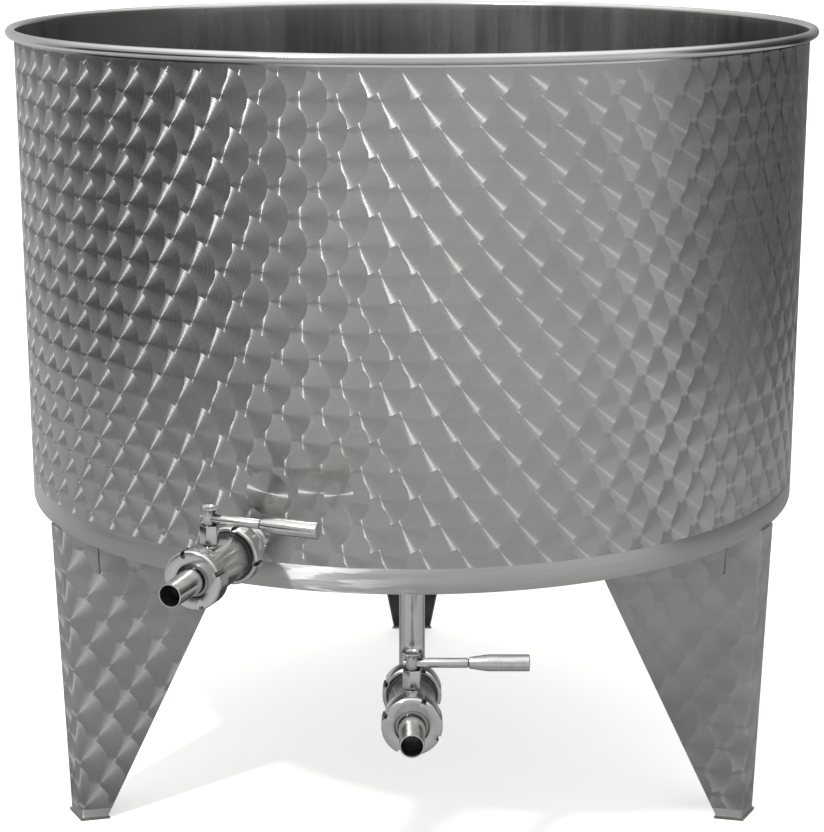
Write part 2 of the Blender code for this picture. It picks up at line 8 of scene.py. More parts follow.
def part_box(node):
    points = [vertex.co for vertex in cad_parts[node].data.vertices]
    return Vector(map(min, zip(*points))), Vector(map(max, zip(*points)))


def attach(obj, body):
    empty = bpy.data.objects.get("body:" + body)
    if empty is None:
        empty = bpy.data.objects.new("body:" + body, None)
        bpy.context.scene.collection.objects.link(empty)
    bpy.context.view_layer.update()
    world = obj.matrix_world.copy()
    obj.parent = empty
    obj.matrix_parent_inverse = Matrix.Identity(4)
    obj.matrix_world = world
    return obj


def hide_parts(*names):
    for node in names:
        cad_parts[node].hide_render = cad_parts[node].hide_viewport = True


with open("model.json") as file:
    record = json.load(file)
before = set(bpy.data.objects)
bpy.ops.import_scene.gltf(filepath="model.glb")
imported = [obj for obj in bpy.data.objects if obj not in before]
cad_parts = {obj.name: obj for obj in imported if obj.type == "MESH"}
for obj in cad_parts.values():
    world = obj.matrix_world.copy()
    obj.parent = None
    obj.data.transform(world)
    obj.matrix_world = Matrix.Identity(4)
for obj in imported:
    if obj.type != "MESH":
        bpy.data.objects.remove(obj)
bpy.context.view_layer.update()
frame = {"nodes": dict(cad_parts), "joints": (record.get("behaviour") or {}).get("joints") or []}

# The tank's own axis and main sizes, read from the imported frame
wallLow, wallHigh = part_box("shell_wall")
bandLow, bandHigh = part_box("bottom_band")
axisY = (wallLow.y + wallHigh.y) / 2
wallRadius = (wallHigh.x - wallLow.x) / 2
legHeight = bandLow.z
bandTop = bandHigh.z
joints = {joint["name"]: joint for joint in frame["joints"]}
sheet = 0.0015            # wall, rim and band
roundSides = 240          # columns of the wall, so that 1.5 degrees is one column


def leaveEdit():
    bpy.ops.object.mode_set(mode="OBJECT")


def dropSelection():
    if bpy.context.object and bpy.context.object.mode != "OBJECT":
        leaveEdit()
    bpy.ops.object.select_all(action="DESELECT")


def pick(piece):
    dropSelection()
    piece.select_set(True)
    bpy.context.view_layer.objects.active = piece


def selectParts(piece, kind, test):
    # kind is VERT, EDGE or FACE; test gets each vertex, edge or face of the mesh
    pick(piece)
    bpy.ops.object.mode_set(mode="EDIT")
    bpy.ops.mesh.select_mode(type=kind)
    bpy.ops.mesh.select_all(action="DESELECT")
    leaveEdit()
    mesh = piece.data
    for part in {"VERT": mesh.vertices, "EDGE": mesh.edges, "FACE": mesh.polygons}[kind]:
        part.select = test(part)
    bpy.ops.object.mode_set(mode="EDIT")


def everyPart(part):
    return True


def reshape(piece, kind, test, change, **settings):
    # selects what passes the test and uses one edit mode operator on it
    selectParts(piece, kind, test)
    change(**settings)
    leaveEdit()


def edgeMiddle(piece, edge):
    first, second = (piece.data.vertices[index].co for index in edge.vertices)
    return (first + second) / 2


def useModifier(piece, kind, **settings):
    pick(piece)
    modifier = piece.modifiers.new(kind.lower(), kind)
    for name, value in settings.items():
        setattr(modifier, name, value)
    bpy.ops.object.modifier_apply(modifier=modifier.name)


def settle(piece, spot=None):
    # puts the piece's place into its mesh
    pick(piece)
    if spot is not None:
        piece.matrix_world = spot @ piece.matrix_world
    bpy.ops.object.transform_apply(location=True, rotation=True, scale=True)


def cutAway(piece, cutter):
    useModifier(piece, "BOOLEAN", object=cutter, operation="DIFFERENCE", solver="EXACT")
    bpy.data.objects.remove(cutter)


def cutBore(piece, radius, depth, spot=None, **place):
    dropSelection()
    bpy.ops.mesh.primitive_cylinder_add(vertices=64, radius=radius, depth=depth, **place)
    cutter = bpy.context.object
    settle(cutter, spot)
    cutAway(piece, cutter)


def joinPieces(first, *others):
    pick(first)
    for other in others:
        other.select_set(True)
    bpy.ops.object.join()
    return first


def smoothRound(piece, degrees=30):
    pick(piece)
    bpy.ops.object.shade_smooth_by_angle(angle=math.radians(degrees))


def softenEdges(piece, width, segments=2, degrees=28):
    useModifier(piece, "BEVEL", width=width, segments=segments, limit_method="ANGLE",
                angle_limit=math.radians(degrees), harden_normals=False)


def mergePoints(piece):
    pick(piece)
    bpy.ops.object.mode_set(mode="EDIT")
    bpy.ops.mesh.select_all(action="SELECT")
    bpy.ops.mesh.remove_doubles(threshold=0.00001)
    bpy.ops.mesh.normals_make_consistent(inside=False)
    leaveEdit()


def layUnfolded(piece, measure):
    # a UV map in metres, as if the sheet were unrolled; measure gets a point and its face's middle
    layer = piece.data.uv_layers.get("unfolded") or piece.data.uv_layers.new(name="unfolded")
    for face in piece.data.polygons:
        middle = face.center
        for index in face.loop_indices:
            point = piece.data.vertices[piece.data.loops[index].vertex_index].co
            layer.data[index].uv = measure(point, middle)


def nearTurn(turn, middle):
    return middle + (turn - middle + math.pi) % math.tau - math.pi


def turnRound(centreY, point, middle):
    # the point's turn round an upright axis, with the front at 0 and no jump inside a face
    return nearTurn(math.atan2(point.x, centreY - point.y), math.atan2(middle.x, centreY - middle.y))


def unrollUpright(radius):
    # round the tank's axis, with heights as they are
    def measure(point, middle):
        return turnRound(axisY, point, middle) * radius, point.z
    return measure


turnedRadius = 0.02       # one unrolling radius for all turned pieces
endStretch = 1.7          # makes room for faces that point along the axis


def unrollTurned(point, middle):
    # round the outlet's own axis, which is Y, and outwards along the profile
    turn = nearTurn(math.atan2(point.x, point.z), math.atan2(middle.x, middle.z))
    return turn * turnedRadius, -point.y + endStretch * math.hypot(point.x, point.z)


def closed(*stations):
    # a profile that ends where it begins
    return [*stations, stations[0]]


def turnPiece(name, stations, sides=96, soften=0.0):
    # stations are (distance outwards, radius); a closed profile makes a ring, an open one is capped
    dropSelection()
    along, radius = stations[0]
    bpy.ops.mesh.primitive_circle_add(vertices=sides, radius=radius, location=(0, -along, 0),
                                      rotation=(math.pi / 2, 0, 0))
    piece = bpy.context.object
    piece.name = name
    settle(piece)
    bpy.ops.object.mode_set(mode="EDIT")
    bpy.ops.mesh.select_all(action="SELECT")
    for nextAlong, nextRadius in stations[1:]:
        bpy.ops.mesh.extrude_region_move(TRANSFORM_OT_translate={"value": (0, along - nextAlong, 0)})
        grow = nextRadius / radius
        bpy.ops.transform.resize(value=(grow, 1, grow), center_override=(0, -nextAlong, 0))
        along, radius = nextAlong, nextRadius
    if stations[0] != stations[-1]:
        bpy.ops.mesh.select_all(action="SELECT")
        bpy.ops.mesh.fill_holes(sides=0)
    mergePoints(piece)
    if soften:
        softenEdges(piece, soften)
    return piece


def coat(piece, *finishes):
    piece.data.materials.clear()
    for finish in finishes:
        piece.data.materials.append(finish)


def finishTurned(piece, spot, body, *nodes, slot="turned_steel", finish=None):
    layUnfolded(piece, unrollTurned)
    smoothRound(piece)
    settle(piece, spot)
    keep(piece, body, slot, finish or turnedSteel, *nodes)


def keep(piece, body, slot, finish, *nodes):
    if finish is not None:
        coat(piece, finish)
    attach(piece, body)
    if nodes:
        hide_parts(*nodes)


# Finishes

def addNode(tree, kind, **settings):
    node = tree.nodes.new(kind)
    for name, value in settings.items():
        setattr(node, name, value)
    return node


def feed(tree, socket, value):
    if isinstance(value, bpy.types.NodeSocket):
        tree.links.new(value, socket)
    else:
        socket.default_value = value


def mathNode(tree, operation, *values):
    node = addNode(tree, "ShaderNodeMath", operation=operation)
    for socket, value in zip(node.inputs, values):
        feed(tree, socket, value)
    return node.outputs[0]


def vectorNode(tree, operation, *values):
    node = addNode(tree, "ShaderNodeVectorMath", operation=operation)
    for socket, value in zip(node.inputs, values):
        feed(tree, socket, value)
    return node.outputs[0]


def lengthOf(tree, first, second):
    # the long side of a right angle with these two
    squares = [mathNode(tree, "MULTIPLY", side, side) for side in (first, second)]
    return mathNode(tree, "SQRT", mathNode(tree, "ADD", *squares))


def splitVector(tree, vector):
    node = addNode(tree, "ShaderNodeSeparateXYZ")
    feed(tree, node.inputs[0], vector)
    return node.outputs


def joinVector(tree, *values):
    node = addNode(tree, "ShaderNodeCombineXYZ")
    for socket, value in zip(node.inputs, values):
        feed(tree, socket, value)
    return node.outputs[0]


def scaleVector(tree, vector, amount):
    node = addNode(tree, "ShaderNodeVectorMath", operation="SCALE")
    feed(tree, node.inputs[0], vector)
    feed(tree, node.inputs["Scale"], amount)
    return node.outputs[0]


def spread(tree, value, low, high, newLow, newHigh, kind="LINEAR"):
    node = addNode(tree, "ShaderNodeMapRange", interpolation_type=kind)
    for socket, number in zip(node.inputs, (value, low, high, newLow, newHigh)):
        feed(tree, socket, number)
    return node.outputs[0]


def spreadNoise(tree, noise, newLow, newHigh):
    # noise mostly stays between 0.3 and 0.7
    return spread(tree, noise, 0.3, 0.7, newLow, newHigh)


mixSockets = {"FLOAT": (0, 2, 3, 0), "VECTOR": (0, 4, 5, 1), "RGBA": (0, 6, 7, 2)}


def mixValues(tree, kind, factor, first, second):
    node = addNode(tree, "ShaderNodeMix", data_type=kind)
    *given, result = mixSockets[kind]
    for index, value in zip(given, (factor, first, second)):
        feed(tree, node.inputs[index], value)
    return node.outputs[result]


def cloudColour(tree, cloud, first, second):
    return mixValues(tree, "RGBA", spread(tree, cloud, 0.35, 0.65, 0.0, 1.0), first, second)


def noiseAt(tree, place, scale, detail=3.0, roughness=0.5, stretch=(1, 1, 1)):
    mapping = addNode(tree, "ShaderNodeMapping")
    feed(tree, mapping.inputs["Vector"], place)
    mapping.inputs["Scale"].default_value = stretch
    node = addNode(tree, "ShaderNodeTexNoise")
    tree.links.new(mapping.outputs[0], node.inputs["Vector"])
    node.inputs["Scale"].default_value = scale
    node.inputs["Detail"].default_value = detail
    node.inputs["Roughness"].default_value = roughness
    return node.outputs["Fac"]


def startFinish(name, metallic=1.0):
    finish = bpy.data.materials.new(name)
    finish.use_nodes = True
    tree = finish.node_tree
    shader = tree.nodes["Principled BSDF"]
    shader.inputs["Metallic"].default_value = metallic
    return finish, tree, shader


def setLook(tree, shader, colour, roughness):
    feed(tree, shader.inputs["Base Color"], colour)
    feed(tree, shader.inputs["Roughness"], roughness)


def scratchAlong(tree, shader, way, anisotropy):
    feed(tree, shader.inputs["Tangent"], way)
    shader.inputs["Anisotropic"].default_value = anisotropy


def addBump(tree, shader, height, strength, distance):
    bump = addNode(tree, "ShaderNodeBump")
    bump.inputs["Strength"].default_value = strength
    bump.inputs["Distance"].default_value = distance
    feed(tree, bump.inputs["Height"], height)
    feed(tree, shader.inputs["Normal"], bump.outputs[0])


def objectPlace(tree):
    return addNode(tree, "ShaderNodeTexCoord").outputs["Object"]


def unfoldedPlace(tree):
    node = addNode(tree, "ShaderNodeUVMap", uv_map="unfolded")
    return node.outputs[0]


def sheetDirections(tree):
    across = addNode(tree, "ShaderNodeTangent", direction_type="UV_MAP", uv_map="unfolded").outputs[0]
    facing = addNode(tree, "ShaderNodeNewGeometry").outputs["Normal"]
    return across, vectorNode(tree, "CROSS_PRODUCT", facing, across)


marbledPlan = {
    "columnStep": math.tau * wallRadius / 142,
    "columns": 142,
    "rowStep": 0.0598,
    "discRadius": 0.030,
    "stray": 0.0014,          # how far each disc strays from its place
    "colour": (0.50, 0.49, 0.475),
    "roughness": (0.25, 0.38),          # finest and coarsest scratches
    "ringScale": 520.0,
    "grainScale": 2600.0,
}
handMarks = [                 # where the spigot's weld was dressed by hand: across, up, radius
    (-0.1675, 0.4798, 0.024),
    (-0.1105, 0.4842, 0.022),
    (-0.0880, 0.4830, 0.016),
]
legFinishes = {               # the legs' sheet was handled more, and is duller
    "left": {"turn": 62.0, "roughness": (0.40, 0.52), "anisotropy": 0.80, "cloud": 0.12},
    "right": {"turn": 0.0, "roughness": (0.48, 0.58), "anisotropy": 0.55, "cloud": 0.15},
    "back": {"turn": 0.0, "roughness": (0.42, 0.52), "anisotropy": 0.80, "cloud": 0.12},
}
footStrip = 0.0135            # left unmarbled at each leg's foot


def makeDiscTest():
    # one column of polishing discs: where the nearest disc's middle lies, and if it covers the point
    plan = marbledPlan
    group = bpy.data.node_groups.new("polishingDisc", "ShaderNodeTree")
    for name in ("across", "up", "column"):
        group.interface.new_socket(name, in_out="INPUT", socket_type="NodeSocketFloat")
    group.interface.new_socket("offset", in_out="OUTPUT", socket_type="NodeSocketVector")
    group.interface.new_socket("covers", in_out="OUTPUT", socket_type="NodeSocketFloat")
    given = addNode(group, "NodeGroupInput").outputs
    result = addNode(group, "NodeGroupOutput").inputs
    parity = mathNode(group, "FLOORED_MODULO", given["column"], 2.0)
    phase = mathNode(group, "MULTIPLY", parity, plan["rowStep"] / 2)
    raised = mathNode(group, "SUBTRACT", given["up"], phase)
    row = mathNode(group, "ROUND", mathNode(group, "DIVIDE", raised, plan["rowStep"]))
    middleUp = mathNode(group, "MULTIPLY_ADD", row, plan["rowStep"], phase)
    middleAcross = mathNode(group, "MULTIPLY", given["column"], plan["columnStep"])
    column = mathNode(group, "FLOORED_MODULO", given["column"], float(plan["columns"]))
    chance = addNode(group, "ShaderNodeTexWhiteNoise", noise_dimensions="2D")
    feed(group, chance.inputs["Vector"], joinVector(group, column, row))
    colour = addNode(group, "ShaderNodeSeparateColor")
    feed(group, colour.inputs[0], chance.outputs["Color"])
    strayAcross = mathNode(group, "MULTIPLY_ADD", colour.outputs[0], 2 * plan["stray"], -plan["stray"])
    strayUp = mathNode(group, "MULTIPLY_ADD", colour.outputs[1], 2 * plan["stray"], -plan["stray"])
    fromColumn = mathNode(group, "SUBTRACT", given["across"], middleAcross)
    fromRow = mathNode(group, "SUBTRACT", given["up"], middleUp)
    across = mathNode(group, "SUBTRACT", fromColumn, strayAcross)
    up = mathNode(group, "SUBTRACT", fromRow, strayUp)
    distance = lengthOf(group, across, up)
    feed(group, result["offset"], joinVector(group, across, up, chance.outputs["Value"]))
    feed(group, result["covers"], mathNode(group, "LESS_THAN", distance, plan["discRadius"]))
    return group


def makeMarbledSteel(name, marks, turn=0.0, roughness=marbledPlan["roughness"], anisotropy=1.0,
                     cloud=0.05, foot=0.0):
    # turn leans the scratches, in degrees, and cloud is how far the tone wanders
    plan = marbledPlan
    finish, tree, shader = startFinish(name)
    sheetAcross, sheetUp = splitVector(tree, unfoldedPlace(tree))[:2]
    reach = mathNode(tree, "SUBTRACT", sheetAcross, plan["discRadius"])
    first = mathNode(tree, "CEIL", mathNode(tree, "DIVIDE", reach, plan["columnStep"]))
    tests = []
    for step in range(3):
        node = addNode(tree, "ShaderNodeGroup", node_tree=discTest)
        feed(tree, node.inputs["across"], sheetAcross)
        feed(tree, node.inputs["up"], sheetUp)
        feed(tree, node.inputs["column"], mathNode(tree, "ADD", first, float(step)))
        tests.append(node.outputs)
    chosen = tests[2]["offset"]
    for test in (tests[1], tests[0]):      # the left neighbour was polished last and lies on top
        chosen = mixValues(tree, "VECTOR", test["covers"], chosen, test["offset"])
    for markAcross, markUp, markRadius in marks:      # each is scratched towards its middle
        away = mathNode(tree, "SUBTRACT", sheetAcross, markAcross)
        rise = mathNode(tree, "SUBTRACT", sheetUp, markUp)
        crossed = joinVector(tree, mathNode(tree, "MULTIPLY", rise, -1.0), away)
        onMark = mathNode(tree, "LESS_THAN", lengthOf(tree, away, rise), markRadius)
        chosen = mixValues(tree, "VECTOR", onMark, chosen, crossed)
    if turn:
        lean = addNode(tree, "ShaderNodeVectorRotate", rotation_type="Z_AXIS")
        feed(tree, lean.inputs["Vector"], chosen)
        lean.inputs["Angle"].default_value = math.radians(turn)
        chosen = lean.outputs[0]
    discAcross, discUp, discChance = splitVector(tree, chosen)
    across, up = sheetDirections(tree)
    outwards = vectorNode(tree, "NORMALIZE", vectorNode(tree, "ADD", scaleVector(tree, across, discAcross),
                                                        scaleVector(tree, up, discUp)))
    onStrip = 0.0
    if foot:
        onStrip = mathNode(tree, "LESS_THAN", splitVector(tree, objectPlace(tree))[2], foot)
        outwards = mixValues(tree, "VECTOR", onStrip, outwards, up)
    scratchAlong(tree, shader, outwards, anisotropy)
    distance = lengthOf(tree, discAcross, discUp)
    ringNode = addNode(tree, "ShaderNodeTexNoise", noise_dimensions="1D")
    feed(tree, ringNode.inputs["W"], mathNode(tree, "MULTIPLY_ADD", discChance, 40.0, distance))
    ringNode.inputs["Scale"].default_value = plan["ringScale"]
    ringNode.inputs["Detail"].default_value = 3.0
    rings = ringNode.outputs["Fac"]
    smudge = noiseAt(tree, unfoldedPlace(tree), 9.0, 3.0)
    tone = mathNode(tree, "ADD", spreadNoise(tree, rings, -0.035, 0.035),
                    spread(tree, discChance, 0.0, 1.0, -0.03, 0.03))
    tone = mathNode(tree, "ADD", tone, spreadNoise(tree, smudge, 1 - cloud, 1 + cloud))
    tone = mathNode(tree, "MULTIPLY_ADD", onStrip, 0.25, tone)
    grain = noiseAt(tree, unfoldedPlace(tree), plan["grainScale"], 1.0)
    rough = mathNode(tree, "ADD", spread(tree, grain, 0.42, 0.58, *roughness),
                     spreadNoise(tree, rings, -0.02, 0.02))
    setLook(tree, shader, scaleVector(tree, plan["colour"], tone), rough)
    edge = spread(tree, distance, plan["discRadius"] * 0.9, plan["discRadius"], 0.0, 1.0)
    addBump(tree, shader, mathNode(tree, "MULTIPLY_ADD", rings, 0.25, edge), 0.10, 0.0002)
    return finish


millLook = {"dark": (0.43, 0.425, 0.42, 1), "light": (0.47, 0.465, 0.46, 1), "roughness": 0.26}


def makeMillSteel():
    # plain rolled sheet: inside the wall and legs, and the floor
    finish, tree, shader = startFinish("millSteel")
    look = millLook
    place = objectPlace(tree)
    drawn = noiseAt(tree, place, 60.0, 4.0, 0.6, (1, 1, 0.03))
    cloud = noiseAt(tree, place, 5.0, 4.0)
    rough = mathNode(tree, "ADD", spreadNoise(tree, drawn, -0.05, 0.05),
                     spreadNoise(tree, cloud, look["roughness"] - 0.05, look["roughness"] + 0.07))
    setLook(tree, shader, cloudColour(tree, cloud, look["dark"], look["light"]), rough)
    addBump(tree, shader, drawn, 0.05, 0.0005)
    return finish


def makeShadedUnderside():
    # the floor's underside, never polished, and painted dark as the shade that falls beneath the tank
    finish, tree, shader = startFinish("shadedUnderside")
    place = objectPlace(tree)
    cloud = noiseAt(tree, place, 9.0, 5.0, 0.6)
    grain = noiseAt(tree, place, 240.0, 3.0)
    # painted shade: a near-black steel colour stands in for the underside's shadow
    colour = cloudColour(tree, cloud, (0.13, 0.128, 0.125, 1), (0.20, 0.197, 0.19, 1))
    setLook(tree, shader, colour, spreadNoise(tree, grain, 0.38, 0.52))
    return finish


rimLook = {
    "dark": (0.68, 0.675, 0.66, 1),
    "light": (0.74, 0.735, 0.72, 1),
    "roughness": 0.16,
    "anisotropy": 0.5,
}


def makePolishedRim():
    finish, tree, shader = startFinish("polishedRim")
    look = rimLook
    place = unfoldedPlace(tree)
    scratch = noiseAt(tree, place, 900.0, 3.0, 0.6, (0.02, 1, 1))
    haze = noiseAt(tree, place, 12.0, 3.0)
    rough = mathNode(tree, "ADD", spreadNoise(tree, scratch, -0.03, 0.05),
                     spreadNoise(tree, haze, look["roughness"] - 0.03, look["roughness"] + 0.04))
    setLook(tree, shader, cloudColour(tree, haze, look["dark"], look["light"]), rough)
    scratchAlong(tree, shader, sheetDirections(tree)[1], look["anisotropy"])
    return finish


bandLook = {
    "colour": (0.56, 0.555, 0.545),
    "roughness": 0.36,
    "anisotropy": 0.85,
    "dressedAndSheen": ((-0.150, -0.143), (-0.100, 0.020)),       # start and end of the ground weld and its painted highlight, along the ring
    "dressedRoughness": 0.62,
}


def makeBrushedBand():
    # brushed along the ring, with rougher strokes where the weld was dressed; there the colour is also
    # brightened, a painted highlight where the lamp's smear falls
    finish, tree, shader = startFinish("brushedBand")
    look = bandLook
    place = unfoldedPlace(tree)
    fine = noiseAt(tree, place, 1400.0, 3.0, 0.6, (0.006, 1, 1))
    strokes = noiseAt(tree, place, 160.0, 4.0, 0.6, (0.05, 1, 1))
    tone = mathNode(tree, "ADD", spreadNoise(tree, fine, 0.93, 1.06), spreadNoise(tree, strokes, -0.06, 0.07))
    around = splitVector(tree, place)[0]
    begun, ended = look["dressedAndSheen"]
    patch = noiseAt(tree, place, 110.0, 2.0, 0.5, (0.12, 1, 1))
    within = mathNode(tree, "MULTIPLY", spread(tree, around, *begun, 0.0, 1.0),
                      spread(tree, around, *ended, 1.0, 0.0))
    dressedAndSheen = mathNode(tree, "MULTIPLY", within, spread(tree, patch, 0.50, 0.56, 0.0, 1.0))
    plain = spreadNoise(tree, strokes, look["roughness"] - 0.07, look["roughness"] + 0.07)
    # painted highlight: the dressed strokes' colour is brightened where the lamp's smear falls
    tone = mathNode(tree, "MULTIPLY_ADD", dressedAndSheen, 0.35, tone)
    setLook(tree, shader, scaleVector(tree, look["colour"], tone),
            spread(tree, dressedAndSheen, 0.0, 1.0, plain, look["dressedRoughness"]))
    scratchAlong(tree, shader, sheetDirections(tree)[1], look["anisotropy"])
    addBump(tree, shader, fine, 0.08, 0.0003)
    return finish


turnedLook = {"colour": (0.68, 0.67, 0.655), "roughness": 0.17, "anisotropy": 0.6, "cornerShade": 0.007}


def makeTurnedSteel():
    # tool marks run round the piece, so its sheen spreads across them
    finish, tree, shader = startFinish("turnedSteel")
    look = turnedLook
    place = unfoldedPlace(tree)
    cuts = noiseAt(tree, place, 1800.0, 2.0, 0.6, (0.01, 1, 1))
    patches = noiseAt(tree, place, 70.0, 3.0)
    tone = mathNode(tree, "ADD", spreadNoise(tree, cuts, 0.92, 1.05), spreadNoise(tree, patches, -0.06, 0.05))
    cornerShade = addNode(tree, "ShaderNodeAmbientOcclusion", samples=6)      # painted shade: ambient occlusion darkens the colour in corners, slots and grooves
    cornerShade.inputs["Distance"].default_value = look["cornerShade"]
    shade = mathNode(tree, "POWER", cornerShade.outputs["AO"], 1.6)
    setLook(tree, shader, scaleVector(tree, look["colour"], mathNode(tree, "MULTIPLY", tone, shade)),
            spreadNoise(tree, patches, look["roughness"] - 0.04, look["roughness"] + 0.07))
    scratchAlong(tree, shader, sheetDirections(tree)[1], look["anisotropy"])
    addBump(tree, shader, cuts, 0.10, 0.0002)
    return finish


def makePlainSteel():
    # cut plate and turned rod, with no map of their own
    finish, tree, shader = startFinish("plainSteel")
    place = objectPlace(tree)
    grain = noiseAt(tree, place, 300.0, 4.0, 0.6)
    cloud = noiseAt(tree, place, 40.0, 3.0)
    colour = cloudColour(tree, cloud, (0.44, 0.43, 0.42, 1), (0.56, 0.55, 0.53, 1))
    setLook(tree, shader, colour, spreadNoise(tree, grain, 0.3, 0.45))
    addBump(tree, shader, grain, 0.15, 0.0004)
    return finish


def makeBlackRubber():
    finish, tree, shader = startFinish("blackRubber", 0.0)
    grain = noiseAt(tree, objectPlace(tree), 700.0, 3.0)
    colour = mixValues(tree, "RGBA", grain, (0.010, 0.010, 0.011, 1), (0.030, 0.029, 0.030, 1))
    setLook(tree, shader, colour, spreadNoise(tree, grain, 0.42, 0.62))
    addBump(tree, shader, grain, 0.2, 0.0002)
    return finish


discTest = makeDiscTest()
marbledSteel = makeMarbledSteel("marbledSteel", handMarks)
legSteels = {side: makeMarbledSteel("legSteel" + side.capitalize(), [], foot=footStrip, **looks)
             for side, looks in legFinishes.items()}
millSteel = makeMillSteel()
shadedUnderside = makeShadedUnderside()
polishedRim = makePolishedRim()
brushedBand = makeBrushedBand()
turnedSteel = makeTurnedSteel()
plainSteel = makePlainSteel()
blackRubber = makeBlackRubber()
print("finishes made")


# Outlets: where each valve's own frame lies, with -Y outwards from the rear nut's back face

stemPlace = 0.066


def outletSpot(joint, outwards):
    pivot = Vector(joints[joint]["pos_m"])
    turn = math.atan2(outwards.x, -outwards.y)
    return Matrix.Translation(pivot - outwards * stemPlace) @ Matrix.Rotation(turn, 4, "Z")


sidePivot = Vector(joints["side_valve_turn"]["pos_m"])
sideOutwards = Vector((sidePivot.x, sidePivot.y - axisY, 0)).normalized()
outlets = {
    "side": outletSpot("side_valve_turn", sideOutwards),
    "bottom": outletSpot("bottom_valve_turn", Vector((0, -1, 0))),
}


# Shell

rimPlan = {"tubeRadius": 0.00575, "centreHeight": 0.934, "lip": 0.008, "sweep": 305.0, "points": 48}
pipeHole = 0.0143         # radius of the holes that the pipes pass through
wallPlan = {
    "seamTurn": 18.0,        # degrees each side of the back
    "discShift": (0.0104, -0.0044),     # where the first disc lies, from the front and from the floor
    "patchRise": 0.019,      # the narrow back sheet's polishing rows lie higher
}


def openRound(name, radius, low, high):
    dropSelection()
    bpy.ops.mesh.primitive_cylinder_add(vertices=roundSides, radius=radius, depth=high - low,
                                        end_fill_type="NOTHING", location=(0, axisY, (low + high) / 2))
    piece = bpy.context.object
    piece.name = name
    settle(piece)
    return piece


def makeWall():
    wall = openRound("wallSheet", wallRadius, bandTop, rimPlan["centreHeight"] - rimPlan["lip"])
    middle = outlets["side"].translation.z
    for height in (middle - 0.03, middle + 0.03):     # keeps the cut round the spigot short
        reshape(wall, "FACE", everyPart, bpy.ops.mesh.bisect, plane_co=(0, 0, height), plane_no=(0, 0, 1))
    coat(wall, marbledSteel, millSteel)
    useModifier(wall, "SOLIDIFY", thickness=sheet, offset=-1, use_even_offset=True, material_offset=1)
    cutBore(wall, pipeHole, 0.03, outlets["side"], rotation=(math.pi / 2, 0, 0), location=(0, 0.036, 0))
    backStart = math.radians(180 - wallPlan["seamTurn"]) * wallRadius
    unroll = unrollUpright(wallRadius)

    def measure(point, middle):
        around, up = unroll(point, middle)
        onPatch = abs(unroll(middle, middle)[0]) > backStart
        shiftAround, shiftUp = wallPlan["discShift"]
        return around - shiftAround, up - shiftUp - (wallPlan["patchRise"] if onPatch else 0.0)

    layUnfolded(wall, measure)
    smoothRound(wall)
    keep(wall, "tank", "marbled_sheet", None, "shell_wall")


def makeRim():
    # the sheet's top edge, rolled outwards into a bead that stays open underneath
    plan = rimPlan
    middle = wallRadius - sheet + plan["tubeRadius"]
    dropSelection()
    bpy.ops.mesh.primitive_circle_add(vertices=plan["points"], radius=plan["tubeRadius"],
                                      location=(middle, axisY, plan["centreHeight"]),
                                      rotation=(math.pi / 2, 0, 0))
    rim = bpy.context.object
    rim.name = "rimBead"
    settle(rim)
    openFrom = 180 - plan["sweep"]

    def inGap(point):
        turn = math.degrees(math.atan2(point.co.z - plan["centreHeight"], point.co.x - middle))
        return -179 < turn < openFrom - 1

    reshape(rim, "VERT", inGap, bpy.ops.mesh.delete, type="VERT")
    inner = min(point.co.x for point in rim.data.vertices)
    selectParts(rim, "VERT", lambda point: point.co.x < inner + 0.00001)
    bpy.ops.mesh.extrude_region_move(TRANSFORM_OT_translate={"value": (0, 0, -plan["lip"])})
    bpy.ops.mesh.select_all(action="SELECT")
    bpy.ops.mesh.spin(steps=roundSides, angle=math.tau, center=(0, axisY, 0), axis=(0, 0, 1))
    mergePoints(rim)
    top = max(rim.data.polygons, key=lambda face: face.center.z)
    if top.normal.z < 0:
        reshape(rim, "FACE", everyPart, bpy.ops.mesh.flip_normals)
    useModifier(rim, "SOLIDIFY", thickness=sheet, offset=-1, use_even_offset=True)

    def measure(point, face):
        out = math.hypot(point.x, point.y - axisY) - middle
        faceOut = math.hypot(face.x, face.y - axisY) - middle
        faceRoll = math.atan2(face.z - plan["centreHeight"], faceOut)
        roll = nearTurn(math.atan2(point.z - plan["centreHeight"], out), faceRoll)
        return turnRound(axisY, point, face) * wallRadius, -roll * plan["tubeRadius"]

    layUnfolded(rim, measure)
    smoothRound(rim)
    coat(rim, polishedRim, millSteel)
    for face in rim.data.polygons:       # the lip's inner side is plain sheet, like the wall below it
        out = math.hypot(face.center.x, face.center.y - axisY)
        face.material_index = int(out < wallRadius - sheet + 0.0001 and face.center.z < plan["centreHeight"])
    keep(rim, "tank", "polished_rim", None, "rim_bead")


def makeBand():
    band = openRound("bandRing", wallRadius, legHeight, bandTop)
    useModifier(band, "SOLIDIFY", thickness=sheet, offset=-1, use_even_offset=True)
    softenEdges(band, 0.0004)
    layUnfolded(band, unrollUpright(wallRadius))
    smoothRound(band)
    keep(band, "tank", "brushed_band", brushedBand, "bottom_band")


floorPlan = {"sheet": 0.002, "clearance": 0.001, "rise": 0.010, "lip": 0.002, "rimStep": 0.004}
drainAway = 0.436         # tank axis to the upright pipe


